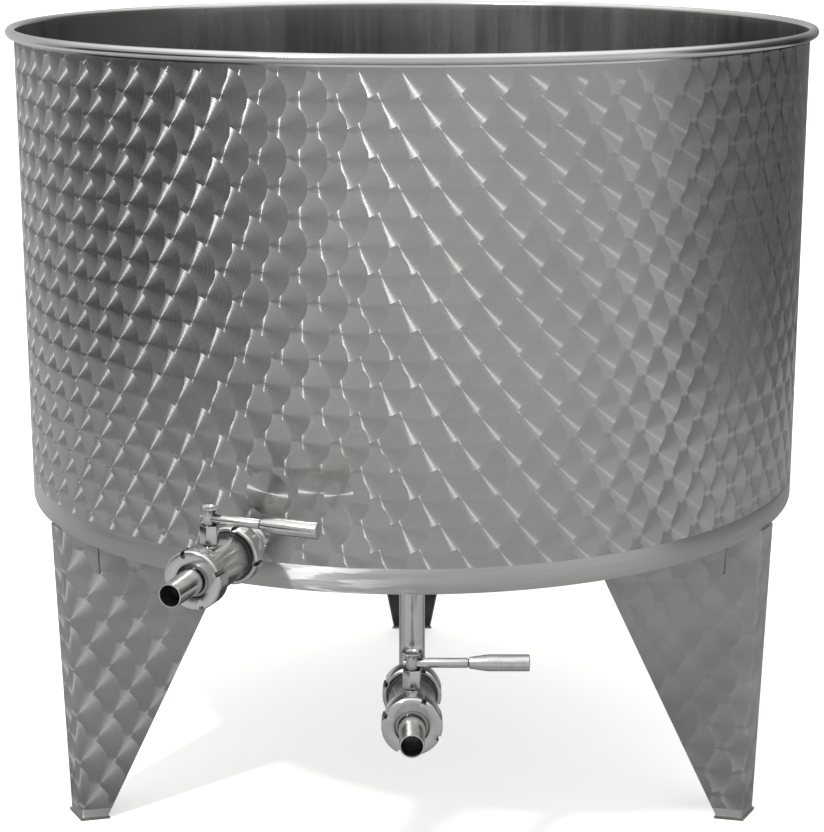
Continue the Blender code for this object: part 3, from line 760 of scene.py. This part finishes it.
def makeFloor():
    # sloped to the front, with its outermost edge turned up
    plan = floorPlan
    radius = wallRadius - sheet
    dropSelection()
    bpy.ops.mesh.primitive_circle_add(vertices=roundSides, radius=radius, fill_type="NGON",
                                      location=(0, axisY, 0))
    pan = bpy.context.object
    pan.name = "floorPan"
    settle(pan)
    selectParts(pan, "FACE", everyPart)
    bpy.ops.mesh.inset(thickness=plan["rimStep"])
    bpy.ops.mesh.inset(thickness=plan["rimStep"])
    leaveEdit()
    edge = radius - plan["rimStep"] / 2
    reshape(pan, "VERT", lambda point: math.hypot(point.co.x, point.co.y - axisY) > edge,
            bpy.ops.transform.translate, value=(0, 0, plan["lip"]))
    useModifier(pan, "SOLIDIFY", thickness=plan["sheet"], offset=1)
    slope = math.atan(plan["rise"] / (2 * wallRadius))
    middle = legHeight + plan["clearance"] + plan["rise"] / 2
    settle(pan, Matrix.Translation((0, axisY, middle)) @ Matrix.Rotation(slope, 4, "X")
           @ Matrix.Translation((0, -axisY, 0)))
    cutBore(pan, pipeHole, 0.05, location=(0, axisY - drainAway, legHeight))
    smoothRound(pan)
    coat(pan, millSteel, shadedUnderside)
    # the downward faces take the painted shade of the underside
    for face in pan.data.polygons:
        face.material_index = int(face.normal.z < -0.5)
    keep(pan, "tank", "marbled_sheet", None, "floor_plate")


makeWall()
makeRim()
makeBand()
makeFloor()
print("shell made")


# Legs, modelled facing -Y round the tank's axis and then turned to their places

legPlan = {
    "turns": {"left": -61.0, "right": 61.0, "back": 180.0},
    "top": 0.400,             # modelled to here and then cut to the floor's slope
    "sheet": 0.002,
    "faceWidth": 0.035,
    "footRadius": 0.4685,
    "topRadius": 0.4795,
    "wingTurn": 72.0,
    "wingFoot": 0.031,
    "wingTop": 0.219,
    "step": 0.009,
    "slitStart": 0.040,
    "slitWidth": 0.002,
    "slitDepth": 0.056,
    "creaseDrop": 0.080,
    "creaseLean": 0.005,
    "foldRadius": 0.003,
    "foot": 0.0033,
    "rowShift": {"left": 0.011, "right": 0.027, "back": 0.044},
}


def legFaceAway(height):
    share = height / legHeight
    away = legPlan["footRadius"] + (legPlan["topRadius"] - legPlan["footRadius"]) * share
    return away - legPlan["sheet"] / 2


def wingDirection(side):
    turn = math.radians(legPlan["wingTurn"])
    return Vector((side * math.cos(turn), math.sin(turn), 0))


def wingAlong(point):
    # distance from the fold, measured in the wing
    way = wingDirection(1)
    out = abs(point.x) - legPlan["faceWidth"] / 2
    return out * way.x + (point.y + legFaceAway(point.z)) * way.y


def makeLeg(side):
    plan = legPlan
    top = plan["top"]
    half = plan["faceWidth"] / 2
    lean = math.atan((plan["topRadius"] - plan["footRadius"]) / legHeight)
    middle = (plan["foot"] + top) / 2
    dropSelection()
    bpy.ops.mesh.primitive_plane_add(size=1, location=(0, -legFaceAway(middle), middle),
                                     rotation=(math.pi / 2 + lean, 0, 0))
    leg = bpy.context.object
    leg.name = "leg" + side.capitalize()
    leg.scale = (plan["faceWidth"], (top - plan["foot"]) / math.cos(lean), 1)
    settle(leg)
    wingSlope = (plan["wingTop"] - plan["wingFoot"]) / (legHeight - plan["foot"])
    for hand in (-1, 1):
        selectParts(leg, "EDGE", lambda edge: abs(edgeMiddle(leg, edge).x - hand * half) < 0.0001)
        way = wingDirection(hand)
        bpy.ops.mesh.extrude_region_move(TRANSFORM_OT_translate={"value": way * plan["wingFoot"]})
        leaveEdit()
        reshape(leg, "VERT", lambda point: point.co.x * hand > half + 0.001 and point.co.z > middle,
                bpy.ops.transform.translate, value=way * wingSlope * (top - plan["foot"]))
    slitBottom = legHeight - plan["slitDepth"]
    slitEnd = plan["slitStart"] + plan["slitWidth"]
    for hand in (-1, 1):
        way = wingDirection(hand)
        flat = Vector((0, 0, 1)).cross(way)
        for along in (plan["slitStart"], slitEnd):
            fold = Vector((hand * half, -legFaceAway(0), 0)) + way * along
            rising = Vector((0, -math.tan(lean), 1))
            reshape(leg, "FACE", lambda face: face.center.x * hand > half,
                    bpy.ops.mesh.bisect, plane_co=fold, plane_no=rising.cross(flat))
        inner = Vector((hand * half, -legFaceAway(slitBottom), slitBottom)) + way * slitEnd
        outerHeight = legHeight - plan["creaseDrop"]
        outerAlong = plan["wingFoot"] + wingSlope * (outerHeight - plan["foot"])
        outer = Vector((hand * half, -legFaceAway(outerHeight), outerHeight)) + way * outerAlong

        def inSlit(face):
            return face.center.x * hand > 0 and plan["slitStart"] < wingAlong(face.center) < slitEnd

        reshape(leg, "FACE", lambda face: face.center.x * hand > 0 and wingAlong(face.center) > slitEnd,
                bpy.ops.mesh.bisect, plane_co=inner, plane_no=(outer - inner).cross(flat))
        reshape(leg, "FACE", inSlit, bpy.ops.mesh.bisect, plane_co=inner, plane_no=(0, 0, 1))
        reshape(leg, "FACE", lambda face: inSlit(face) and face.center.z > slitBottom,
                bpy.ops.mesh.delete, type="FACE")
    turn = Matrix.Rotation(math.radians(plan["turns"][side]), 4, "Z")
    cutNormal = turn.inverted().to_3x3() @ Vector((0, -floorPlan["rise"] / (2 * wallRadius), 1))
    cutPoint = Vector((0, 0, legHeight + floorPlan["clearance"] + floorPlan["rise"] / 2 - 0.0003))
    reshape(leg, "FACE", everyPart, bpy.ops.mesh.bisect, plane_co=cutPoint, plane_no=cutNormal,
            clear_outer=True)
    for hand in (-1, 1):
        way = wingDirection(hand)
        inwards = Vector((-hand * way.y, way.x, 0))
        reshape(leg, "VERT", lambda point: point.co.x * hand > 0 and point.co.z > slitBottom + 0.02
                and wingAlong(point.co) > slitEnd - 0.0001,
                bpy.ops.transform.translate, value=inwards * plan["creaseLean"])

    def onFold(edge):
        first, second = (leg.data.vertices[index].co for index in edge.vertices)
        return abs(abs(edgeMiddle(leg, edge).x) - half) < 0.0001 and abs(first.z - second.z) > 0.1

    reshape(leg, "EDGE", onFold, bpy.ops.mesh.bevel, offset=plan["foldRadius"], segments=6, affect="EDGES")
    mergePoints(leg)
    front = min(leg.data.polygons, key=lambda face: face.center.y)
    if front.normal.y > 0:
        reshape(leg, "FACE", everyPart, bpy.ops.mesh.flip_normals)
    coat(leg, legSteels[side], millSteel)
    useModifier(leg, "SOLIDIFY", thickness=plan["sheet"], offset=0, use_even_offset=True,
                use_quality_normals=True, material_offset=1)
    stepBack = -legFaceAway(legHeight) + plan["step"]
    dropSelection()
    bpy.ops.mesh.primitive_cube_add(size=1, location=(0, stepBack - 0.02, legHeight + 0.0197))
    step = bpy.context.object
    step.scale = (0.10, 0.04, 0.04)
    settle(step)
    cutAway(leg, step)

    def measure(point, middle):
        if abs(middle.x) < half:
            return point.x, point.z + plan["rowShift"][side]
        around = half + wingAlong(point)
        return math.copysign(around, middle.x), point.z + plan["rowShift"][side]

    layUnfolded(leg, measure)
    smoothRound(leg, 20)

    def onCrease(edge):
        first, second = (leg.data.vertices[index].co for index in edge.vertices)
        return (min(wingAlong(first), wingAlong(second)) > slitEnd - 0.0015 and (first - second).length > 0.03
                and abs(first.z - second.z) < 0.04 and max(first.z, second.z) < slitBottom + 0.004)

    reshape(leg, "EDGE", onCrease, bpy.ops.mesh.mark_sharp)
    settle(leg, Matrix.Translation((0, axisY, 0)) @ turn)
    keep(leg, "tank", "marbled_sheet", None, "leg_" + side)


for legSide in legPlan["turns"]:
    makeLeg(legSide)
    coat(frame["nodes"]["foot_plate_" + legSide], plainSteel)
print("legs made")


# Valves, each modelled in the outlet's own frame

pipePlan = {"outer": 0.014, "bore": 0.0125, "collarStart": 0.0063, "collarEnd": 0.012, "collarRadius": 0.022}
fitGap = 0.0003           # left between pieces that fit into each other
nutPlan = {
    "length": 0.021,
    "radius": 0.0315,
    "bevel": 0.0016,
    "mouth": 0.018,
    "thread": 0.0263,
    "shoulder": 0.006,
    "slots": 4,
    "slotWidth": 0.0052,
    "slotDepth": 0.0036,
    "slotTurns": {"side": (10.0, -20.0), "bottom": (24.0, 24.0)},      # rear nut, front nut
    "frontStart": 0.087,
}


def makeNut(name, start, mouthFirst, slotTurn, spot, node):
    plan = nutPlan
    shape = closed(
        (plan["shoulder"], plan["mouth"]),
        (0.0, plan["mouth"]),
        (0.0, plan["radius"] - plan["bevel"]),
        (plan["bevel"], plan["radius"]),
        (plan["length"] - plan["bevel"], plan["radius"]),
        (plan["length"], plan["radius"] - plan["bevel"]),
        (plan["length"], plan["thread"]),
        (plan["shoulder"], plan["thread"]),
    )
    nut = turnPiece(name, [(start + (along if mouthFirst else plan["length"] - along), radius)
                           for along, radius in shape], 128)
    cutters = []
    for step in range(plan["slots"]):
        turn = math.radians(slotTurn) + math.tau * step / plan["slots"]
        away = plan["radius"] - plan["slotDepth"] + 0.005
        dropSelection()
        bpy.ops.mesh.primitive_cube_add(size=1, location=(0, -start - plan["length"] / 2, away))
        cutter = bpy.context.object
        cutter.scale = (plan["slotWidth"], plan["length"] + 0.01, 0.01)
        settle(cutter)
        settle(cutter, Matrix.Rotation(turn, 4, "Y"))
        cutters.append(cutter)
    cutAway(nut, joinPieces(*cutters))
    softenEdges(nut, 0.0003)
    finishTurned(nut, spot, "tank", node)


hubPlan = {
    "bottom": 0.0368,
    "neck": 0.0065,
    "flareStart": 0.0588,
    "flareSteps": 9,
    "cap": 0.0104,
    "capEdge": 0.0010,
    "top": 0.0665,
    "cup": 0.0018,
}
bodyPlan = {
    "threadRadius": 0.0258,
    "barrelStart": 0.0258,
    "barrelRadius": 0.025,
    "shoulder": 0.078,
    "shoulderRadius": 0.026,
    "grooveStart": 0.0213,
    "grooveRadius": 0.0228,
    "bossRadius": 0.0075,
    "bossBottom": 0.018,
    "bossTop": 0.027,
    "stemBore": 0.0045,
    "housingRadius": 0.0104,      # to the corners of its hexagon
    "housingChamfer": 0.0014,
    "housingSeat": 0.0365,        # the hub's neck reaches down to here
    "housingTop": 0.048,
    "housingTurns": {"side": -9.0, "bottom": 10.0},
}
upright = Matrix.Rotation(-math.pi / 2, 4, "X")     # turns a piece made along the pipe to stand up
sideways = Matrix.Rotation(math.pi / 2, 4, "Z")     # turns it to run along the closed lever


def makeValveBody(name, spot):
    plan = bodyPlan
    frontEnd = nutPlan["frontStart"] + nutPlan["length"] - pipePlan["collarEnd"]
    rearEnd = pipePlan["collarEnd"] + fitGap
    stations = closed(
        (rearEnd, pipePlan["bore"]),
        (rearEnd, plan["threadRadius"]),
        (plan["grooveStart"], plan["threadRadius"]),
        (plan["grooveStart"], plan["grooveRadius"]),
        (plan["barrelStart"], plan["grooveRadius"]),
        (plan["barrelStart"], plan["barrelRadius"]),
        (plan["shoulder"] - 0.001, plan["barrelRadius"]),
        (plan["shoulder"], plan["shoulderRadius"]),
        (nutPlan["frontStart"] - fitGap, plan["shoulderRadius"]),
        (nutPlan["frontStart"] - fitGap, plan["threadRadius"] - 0.0006),
        (frontEnd, plan["threadRadius"] - 0.0006),
        (frontEnd, pipePlan["bore"]),
    )
    barrel = turnPiece(name + "Barrel", stations, 128, 0.0004)
    finishTurned(barrel, spot, "tank", name + "_valve_body")
    stem = Matrix.Translation((0, -stemPlace, 0)) @ upright
    bossStations = closed(
        (plan["bossBottom"], plan["stemBore"]),
        (plan["bossBottom"], plan["bossRadius"] + 0.0012),
        (plan["barrelRadius"] - 0.0004, plan["bossRadius"] + 0.0012),
        (plan["barrelRadius"] + 0.0008, plan["bossRadius"]),
        (plan["bossTop"], plan["bossRadius"]),
        (plan["bossTop"], plan["stemBore"]),
    )
    boss = turnPiece(name + "StemBoss", bossStations, 64, 0.0003)
    finishTurned(boss, spot @ stem, "tank")
    housingStations = closed(
        (plan["bossTop"], plan["stemBore"]),
        (plan["bossTop"], plan["housingRadius"] - plan["housingChamfer"]),
        (plan["bossTop"] + plan["housingChamfer"], plan["housingRadius"]),
        (plan["housingTop"], plan["housingRadius"]),
        (plan["housingTop"], plan["stemBore"]),
    )
    housing = turnPiece(name + "StemHousing", housingStations, 6)
    cutBore(housing, hubPlan["neck"] + fitGap, 0.02, rotation=(math.pi / 2, 0, 0),
            location=(0, -plan["housingSeat"] - 0.01, 0))
    softenEdges(housing, 0.0004)
    settle(housing, Matrix.Rotation(math.radians(plan["housingTurns"][name]), 4, "Y"))
    finishTurned(housing, spot @ stem, "tank", name + "_stem_housing")


ringPlan = {"start": 0.0216, "end": 0.0255, "inner": 0.0230, "outer": 0.0256}


def makeRubberRing(name, spot):
    plan = ringPlan
    stations = closed(
        (plan["start"], plan["inner"]),
        (plan["start"], plan["outer"]),
        (plan["end"], plan["outer"]),
        (plan["end"], plan["inner"]),
    )
    ring = turnPiece(name + "RubberRing", stations, 96, 0.0008)
    finishTurned(ring, spot, "tank", name + "_rubber_ring", slot="black_rubber", finish=blackRubber)


tailPlan = {
    "end": 0.157,
    "landRadius": 0.0177,
    "landLength": 0.0048,
    "baseRadius": 0.014,
    "tipRadius": 0.0125,
    "bore": 0.0111,
}


def makeHoseTail(name, spot):
    plan = tailPlan
    nutFront = nutPlan["frontStart"] + nutPlan["length"]
    collarStart = nutFront - pipePlan["collarEnd"] + fitGap
    collarEnd = nutFront - pipePlan["collarStart"]
    landEnd = collarEnd + plan["landLength"]
    stations = closed(
        (collarStart, plan["bore"] + 0.0015),
        (collarStart, pipePlan["collarRadius"]),
        (collarEnd, pipePlan["collarRadius"]),
        (collarEnd, plan["landRadius"]),
        (landEnd, plan["landRadius"]),
        (landEnd, plan["baseRadius"] + 0.0004),
        (landEnd + 0.0015, plan["baseRadius"]),
        (plan["end"], plan["tipRadius"]),
        (plan["end"], plan["bore"]),
        (landEnd, plan["bore"]),
    )
    tail = turnPiece(name + "HoseTail", stations, 96, 0.00035)
    finishTurned(tail, spot, "tank", name + "_hose_tail")


leverPlan = {
    "rodHeight": 0.0545,
    "rodRadius": 0.0052,
    "shoulder": 0.0042,       # the full rod starts here, inside the hub's neck
    "pinRadius": 0.0033,
    "pinReach": 0.0105,
    "rodEnd": 0.0590,
    "gripNeck": 0.0060,
    "taperEnd": 0.079,
    "gripRadius": 0.0088,
    "gripEnd": 0.122,
}
tiny = 0.0002             # a turned end closes on a ring this small


def makeLever(name, spot):
    body = name + "_valve"
    plan = leverPlan
    pivot = spot @ Matrix.Translation((0, -stemPlace, 0))
    hubStations = [(hubPlan["bottom"], tiny), (hubPlan["bottom"], hubPlan["neck"])]
    flareEnd = hubPlan["top"] - hubPlan["capEdge"]
    for step in range(hubPlan["flareSteps"] + 1):     # the neck flares like a trumpet into the cap
        share = step / hubPlan["flareSteps"]
        height = hubPlan["flareStart"] + (flareEnd - hubPlan["flareStart"]) * share
        hubStations.append((height, hubPlan["neck"] + (hubPlan["cap"] - hubPlan["neck"]) * share ** 2.2))
    hubStations += [
        (hubPlan["top"], hubPlan["cap"]),
        (hubPlan["top"], hubPlan["cap"] - 0.0022),
        (hubPlan["top"] - hubPlan["cup"], hubPlan["cap"] - 0.0032),
        (hubPlan["top"] - hubPlan["cup"], tiny),
    ]
    hub = turnPiece(name + "LeverHub", hubStations, 80, 0.0003)
    finishTurned(hub, pivot @ upright, body, name + "_lever_hub")
    along = pivot @ Matrix.Translation((0, 0, plan["rodHeight"])) @ sideways
    rodStations = [
        (-plan["pinReach"], tiny),
        (-plan["pinReach"], plan["pinRadius"] * 0.5),
        (-plan["pinReach"] + 0.0013, plan["pinRadius"]),
        (plan["shoulder"], plan["pinRadius"]),
        (plan["shoulder"], plan["rodRadius"]),
        (plan["rodEnd"] - 0.0012, plan["rodRadius"]),
        (plan["rodEnd"] - 0.0012, plan["rodRadius"] - 0.0010),
        (plan["rodEnd"], plan["rodRadius"] - 0.0010),
        (plan["rodEnd"], tiny),
    ]
    rod = turnPiece(name + "LeverRod", rodStations, 64, 0.0003)
    finishTurned(rod, along, body, name + "_lever_rod")
    gripStations = [
        (plan["rodEnd"], tiny),
        (plan["rodEnd"], plan["gripNeck"] - 0.0005),
        (plan["rodEnd"] + 0.0006, plan["gripNeck"]),
        (plan["taperEnd"], plan["gripRadius"]),
        (plan["gripEnd"] - 0.0008, plan["gripRadius"]),
        (plan["gripEnd"], plan["gripRadius"] - 0.0008),
        (plan["gripEnd"], tiny),
    ]
    grip = turnPiece(name + "LeverGrip", gripStations, 64, 0.0003)
    finishTurned(grip, along, body, name + "_lever_grip")
    for node in (name + "_valve_stem", name + "_valve_disc"):
        coat(frame["nodes"][node], plainSteel)


for outletName, outletPlace in outlets.items():
    rearTurn, frontTurn = nutPlan["slotTurns"][outletName]
    makeNut(outletName + "RearNut", 0.0, True, rearTurn, outletPlace, outletName + "_rear_nut")
    makeNut(outletName + "FrontNut", nutPlan["frontStart"], False, frontTurn, outletPlace,
            outletName + "_front_nut")
    makeValveBody(outletName, outletPlace)
    makeRubberRing(outletName, outletPlace)
    makeHoseTail(outletName, outletPlace)
    makeLever(outletName, outletPlace)
print("valves made")


# Pipes between the tank and the rear nuts

def makeSpigot():
    spot = outlets["side"]
    reach = Vector((spot.translation.x, spot.translation.y - axisY, 0)).length - wallRadius
    start = -reach - sheet
    stations = closed(
        (start, pipePlan["bore"]),
        (start, pipePlan["outer"]),
        (-reach, pipePlan["outer"]),
        (-reach, pipePlan["outer"] + 0.0026),
        (-reach + 0.0009, pipePlan["outer"] + 0.0016),
        (-reach + 0.0028, pipePlan["outer"]),
        (pipePlan["collarStart"], pipePlan["outer"]),
        (pipePlan["collarStart"], pipePlan["collarRadius"]),
        (pipePlan["collarEnd"], pipePlan["collarRadius"]),
        (pipePlan["collarEnd"], pipePlan["bore"]),
    )
    spigot = turnPiece("sideSpigot", stations, 96, 0.0002)
    finishTurned(spigot, spot, "tank", "side_spigot")


drainPlan = {"elbow": 0.038, "steps": 20}


def makeDrainPipe():
    spot = outlets["bottom"]
    plan = drainPlan
    pipeY = axisY - drainAway
    rise = floorPlan["rise"] * (wallRadius - drainAway) / (2 * wallRadius)
    top = legHeight + floorPlan["clearance"] + rise + floorPlan["sheet"]
    axis = spot.translation.z
    bend = axis + plan["elbow"]
    dropSelection()
    bpy.ops.mesh.primitive_circle_add(vertices=96, radius=pipePlan["outer"], location=(0, pipeY, top))
    pipe = bpy.context.object
    pipe.name = "bottomDrainPipe"
    settle(pipe)
    bpy.ops.object.mode_set(mode="EDIT")
    bpy.ops.mesh.select_all(action="SELECT")
    bpy.ops.mesh.extrude_region_move(TRANSFORM_OT_translate={"value": (0, 0, bend - top)})
    bpy.ops.mesh.spin(steps=plan["steps"], angle=math.pi / 2, center=(0, pipeY - plan["elbow"], bend),
                      axis=(1, 0, 0))
    nutBack = spot.translation.y
    bpy.ops.mesh.extrude_region_move(
        TRANSFORM_OT_translate={"value": (0, nutBack - pipePlan["collarStart"] - pipeY + plan["elbow"], 0)})
    leaveEdit()
    mergePoints(pipe)
    useModifier(pipe, "SOLIDIFY", thickness=pipePlan["outer"] - pipePlan["bore"], offset=-1)
    layUnfolded(pipe, lambda point, middle: (turnRound(pipeY, point, middle) * pipePlan["outer"],
                                             point.z - point.y))
    smoothRound(pipe)
    keep(pipe, "tank", "turned_steel", turnedSteel, "bottom_drain_pipe")
    stations = closed(
        (pipePlan["collarStart"], pipePlan["bore"]),
        (pipePlan["collarStart"], pipePlan["collarRadius"]),
        (pipePlan["collarEnd"], pipePlan["collarRadius"]),
        (pipePlan["collarEnd"], pipePlan["bore"]),
    )
    collar = turnPiece("bottomDrainCollar", stations, 96, 0.0002)
    finishTurned(collar, spot, "tank")


makeSpigot()
makeDrainPipe()
print("pipes made")


# Stage, light and camera

roomPlan = {
    # what the steel mirrors, as degrees round the tank from its front, to the right, and the light there
    "floor": {-180: 0.66, -130: 0.66, -100: 0.58, -60: 0.52, -35: 0.66, -15: 0.58, 70: 0.58, 95: 0.52,
              125: 0.42, 160: 0.44, 180: 0.66},
    "horizon": {-180: 0.56, -130: 0.56, -110: 0.32, -98: 0.02, -46: 0.00, -34: 0.40, -20: 0.62, 66: 0.70,
                82: 0.06, 130: 0.02, 160: 0.20, 180: 0.56},
    "upper": {-180: 0.48, -120: 0.55, -88: 0.42, -45: 0.54, -22: 0.64, 0: 0.56, 68: 0.58, 86: 0.10, 130: 0.06,
              160: 0.30, 180: 0.48},
    "underneath": 0.06,       # the floor below the tank lies in its shade
    "nearFloor": 0.40,
    "nearFloorFrom": (-66.0, -40.0),     # the heights, in degrees, where one gives way to the next
    "floorFrom": (-34.0, -22.0),
    "floorTo": (-15.0, -11.5),
    "horizonTo": (0.0, 7.0),
    "overheadFrom": (16.0, 62.0),
    "overhead": 1.3,
    "eyeHeight": 0.62,        # floor seen in the wall, from about the wall's middle
    "fill": 0.9,              # light on what isn't steel
}


def makeRoomTones():
    # how bright the room is in a direction from the tank
    plan = roomPlan
    group = bpy.data.node_groups.new("roomTones", "ShaderNodeTree")
    group.interface.new_socket("direction", in_out="INPUT", socket_type="NodeSocketVector")
    group.interface.new_socket("level", in_out="OUTPUT", socket_type="NodeSocketFloat")
    given = addNode(group, "NodeGroupInput").outputs["direction"]
    right, back, up = splitVector(group, given)
    around = mathNode(group, "ARCTAN2", right, mathNode(group, "MULTIPLY", back, -1.0))
    share = mathNode(group, "MULTIPLY_ADD", around, 1 / math.tau, 0.5)
    rise = mathNode(group, "DEGREES", mathNode(group, "ARCTAN2", up, lengthOf(group, right, back)))
    bands = []
    for band in ("floor", "horizon", "upper"):
        ramp = addNode(group, "ShaderNodeValToRGB")
        ramp.color_ramp.interpolation = "EASE"
        stops = ramp.color_ramp.elements
        stops.remove(stops[-1])
        for index, (degrees, level) in enumerate(plan[band].items()):
            stop = stops[0] if index == 0 else stops.new((degrees + 180) / 360)
            stop.position = (degrees + 180) / 360
            stop.color = (level, level, level, 1)
        feed(group, ramp.inputs[0], share)
        bands.append(ramp.outputs[0])
    level = plan["underneath"]
    for limits, nextLevel in ((plan["nearFloorFrom"], plan["nearFloor"]), (plan["floorFrom"], bands[0]),
                              (plan["floorTo"], bands[1]), (plan["horizonTo"], bands[2]),
                              (plan["overheadFrom"], plan["overhead"])):
        passed = spread(group, rise, *limits, 0.0, 1.0, kind="SMOOTHSTEP")
        level = mixValues(group, "FLOAT", passed, level, nextLevel)
    feed(group, addNode(group, "NodeGroupOutput").inputs["level"], level)
    return group


stagePlan = {"size": 120.0, "colour": (0.90, 0.90, 0.89, 1), "glow": 0.62}


def makeStage(roomTones):
    # a pale lit floor; steel mirrors it darker, as it would a workshop's
    dropSelection()
    bpy.ops.mesh.primitive_plane_add(size=stagePlan["size"], location=(0, axisY, 0))
    floor = bpy.context.object
    floor.name = "paleFloor"
    finish, tree, shader = startFinish("paleFloor", 0.0)
    shader.inputs["Base Color"].default_value = stagePlan["colour"]
    shader.inputs["Roughness"].default_value = 0.9
    shader.inputs["Specular IOR Level"].default_value = 0.1
    shader.inputs["Emission Color"].default_value = stagePlan["colour"]
    shader.inputs["Emission Strength"].default_value = stagePlan["glow"]
    tones = addNode(tree, "ShaderNodeGroup", node_tree=roomTones)
    eye = (0, 0, roomPlan["eyeHeight"])
    feed(tree, tones.inputs[0], vectorNode(tree, "SUBTRACT", objectPlace(tree), eye))
    mirrored = addNode(tree, "ShaderNodeEmission")
    feed(tree, mirrored.inputs["Strength"], tones.outputs[0])
    choice = addNode(tree, "ShaderNodeMixShader")
    feed(tree, choice.inputs[0], addNode(tree, "ShaderNodeLightPath").outputs["Is Glossy Ray"])
    feed(tree, choice.inputs[1], shader.outputs[0])
    feed(tree, choice.inputs[2], mirrored.outputs[0])
    feed(tree, tree.nodes["Material Output"].inputs[0], choice.outputs[0])
    floor.data.materials.append(finish)


lightPlan = {"turn": -35.0, "rise": 43.0, "away": 4.0, "aimHeight": 0.55, "size": 0.24, "power": 90.0}


def makeLight():
    plan = lightPlan
    turn = math.radians(plan["turn"])
    rise = math.radians(plan["rise"])
    way = Vector((math.sin(turn) * math.cos(rise), -math.cos(turn) * math.cos(rise), math.sin(rise)))
    dropSelection()
    bpy.ops.object.light_add(type="AREA", location=Vector((0, axisY, plan["aimHeight"])) + way * plan["away"])
    lamp = bpy.context.object
    lamp.name = "keyLight"
    lamp.rotation_euler = way.to_track_quat("Z", "Y").to_euler()
    lamp.data.size = plan["size"]
    lamp.data.energy = plan["power"]


def makeWorld(roomTones):
    world = bpy.data.worlds.new("studio")
    bpy.context.scene.world = world
    world.use_nodes = True
    tree = world.node_tree
    background = tree.nodes["Background"]
    tones = addNode(tree, "ShaderNodeGroup", node_tree=roomTones)
    feed(tree, tones.inputs[0], addNode(tree, "ShaderNodeTexCoord").outputs["Generated"])
    path = addNode(tree, "ShaderNodeLightPath")
    level = mixValues(tree, "FLOAT", path.outputs["Is Glossy Ray"], roomPlan["fill"], tones.outputs[0])
    seen = mathNode(tree, "MAXIMUM", level, path.outputs["Is Camera Ray"])
    feed(tree, background.inputs["Strength"], seen)
    background.inputs["Color"].default_value = (1, 1, 1, 1)


cameraPlan = {"place": (0.0, -2.5407, 1.1094), "down": 14.24, "lens": 91.69}


def makeCamera():
    bpy.ops.object.camera_add(location=cameraPlan["place"],
                              rotation=(math.radians(90 - cameraPlan["down"]), 0, 0))
    camera = bpy.context.object
    camera.data.lens = cameraPlan["lens"]
    camera.data.sensor_width = 36.0
    bpy.context.scene.camera = camera


roomTones = makeRoomTones()
makeStage(roomTones)
makeLight()
makeWorld(roomTones)
makeCamera()
bpy.context.scene.view_settings.view_transform = "Standard"
print("stage, light and camera made")
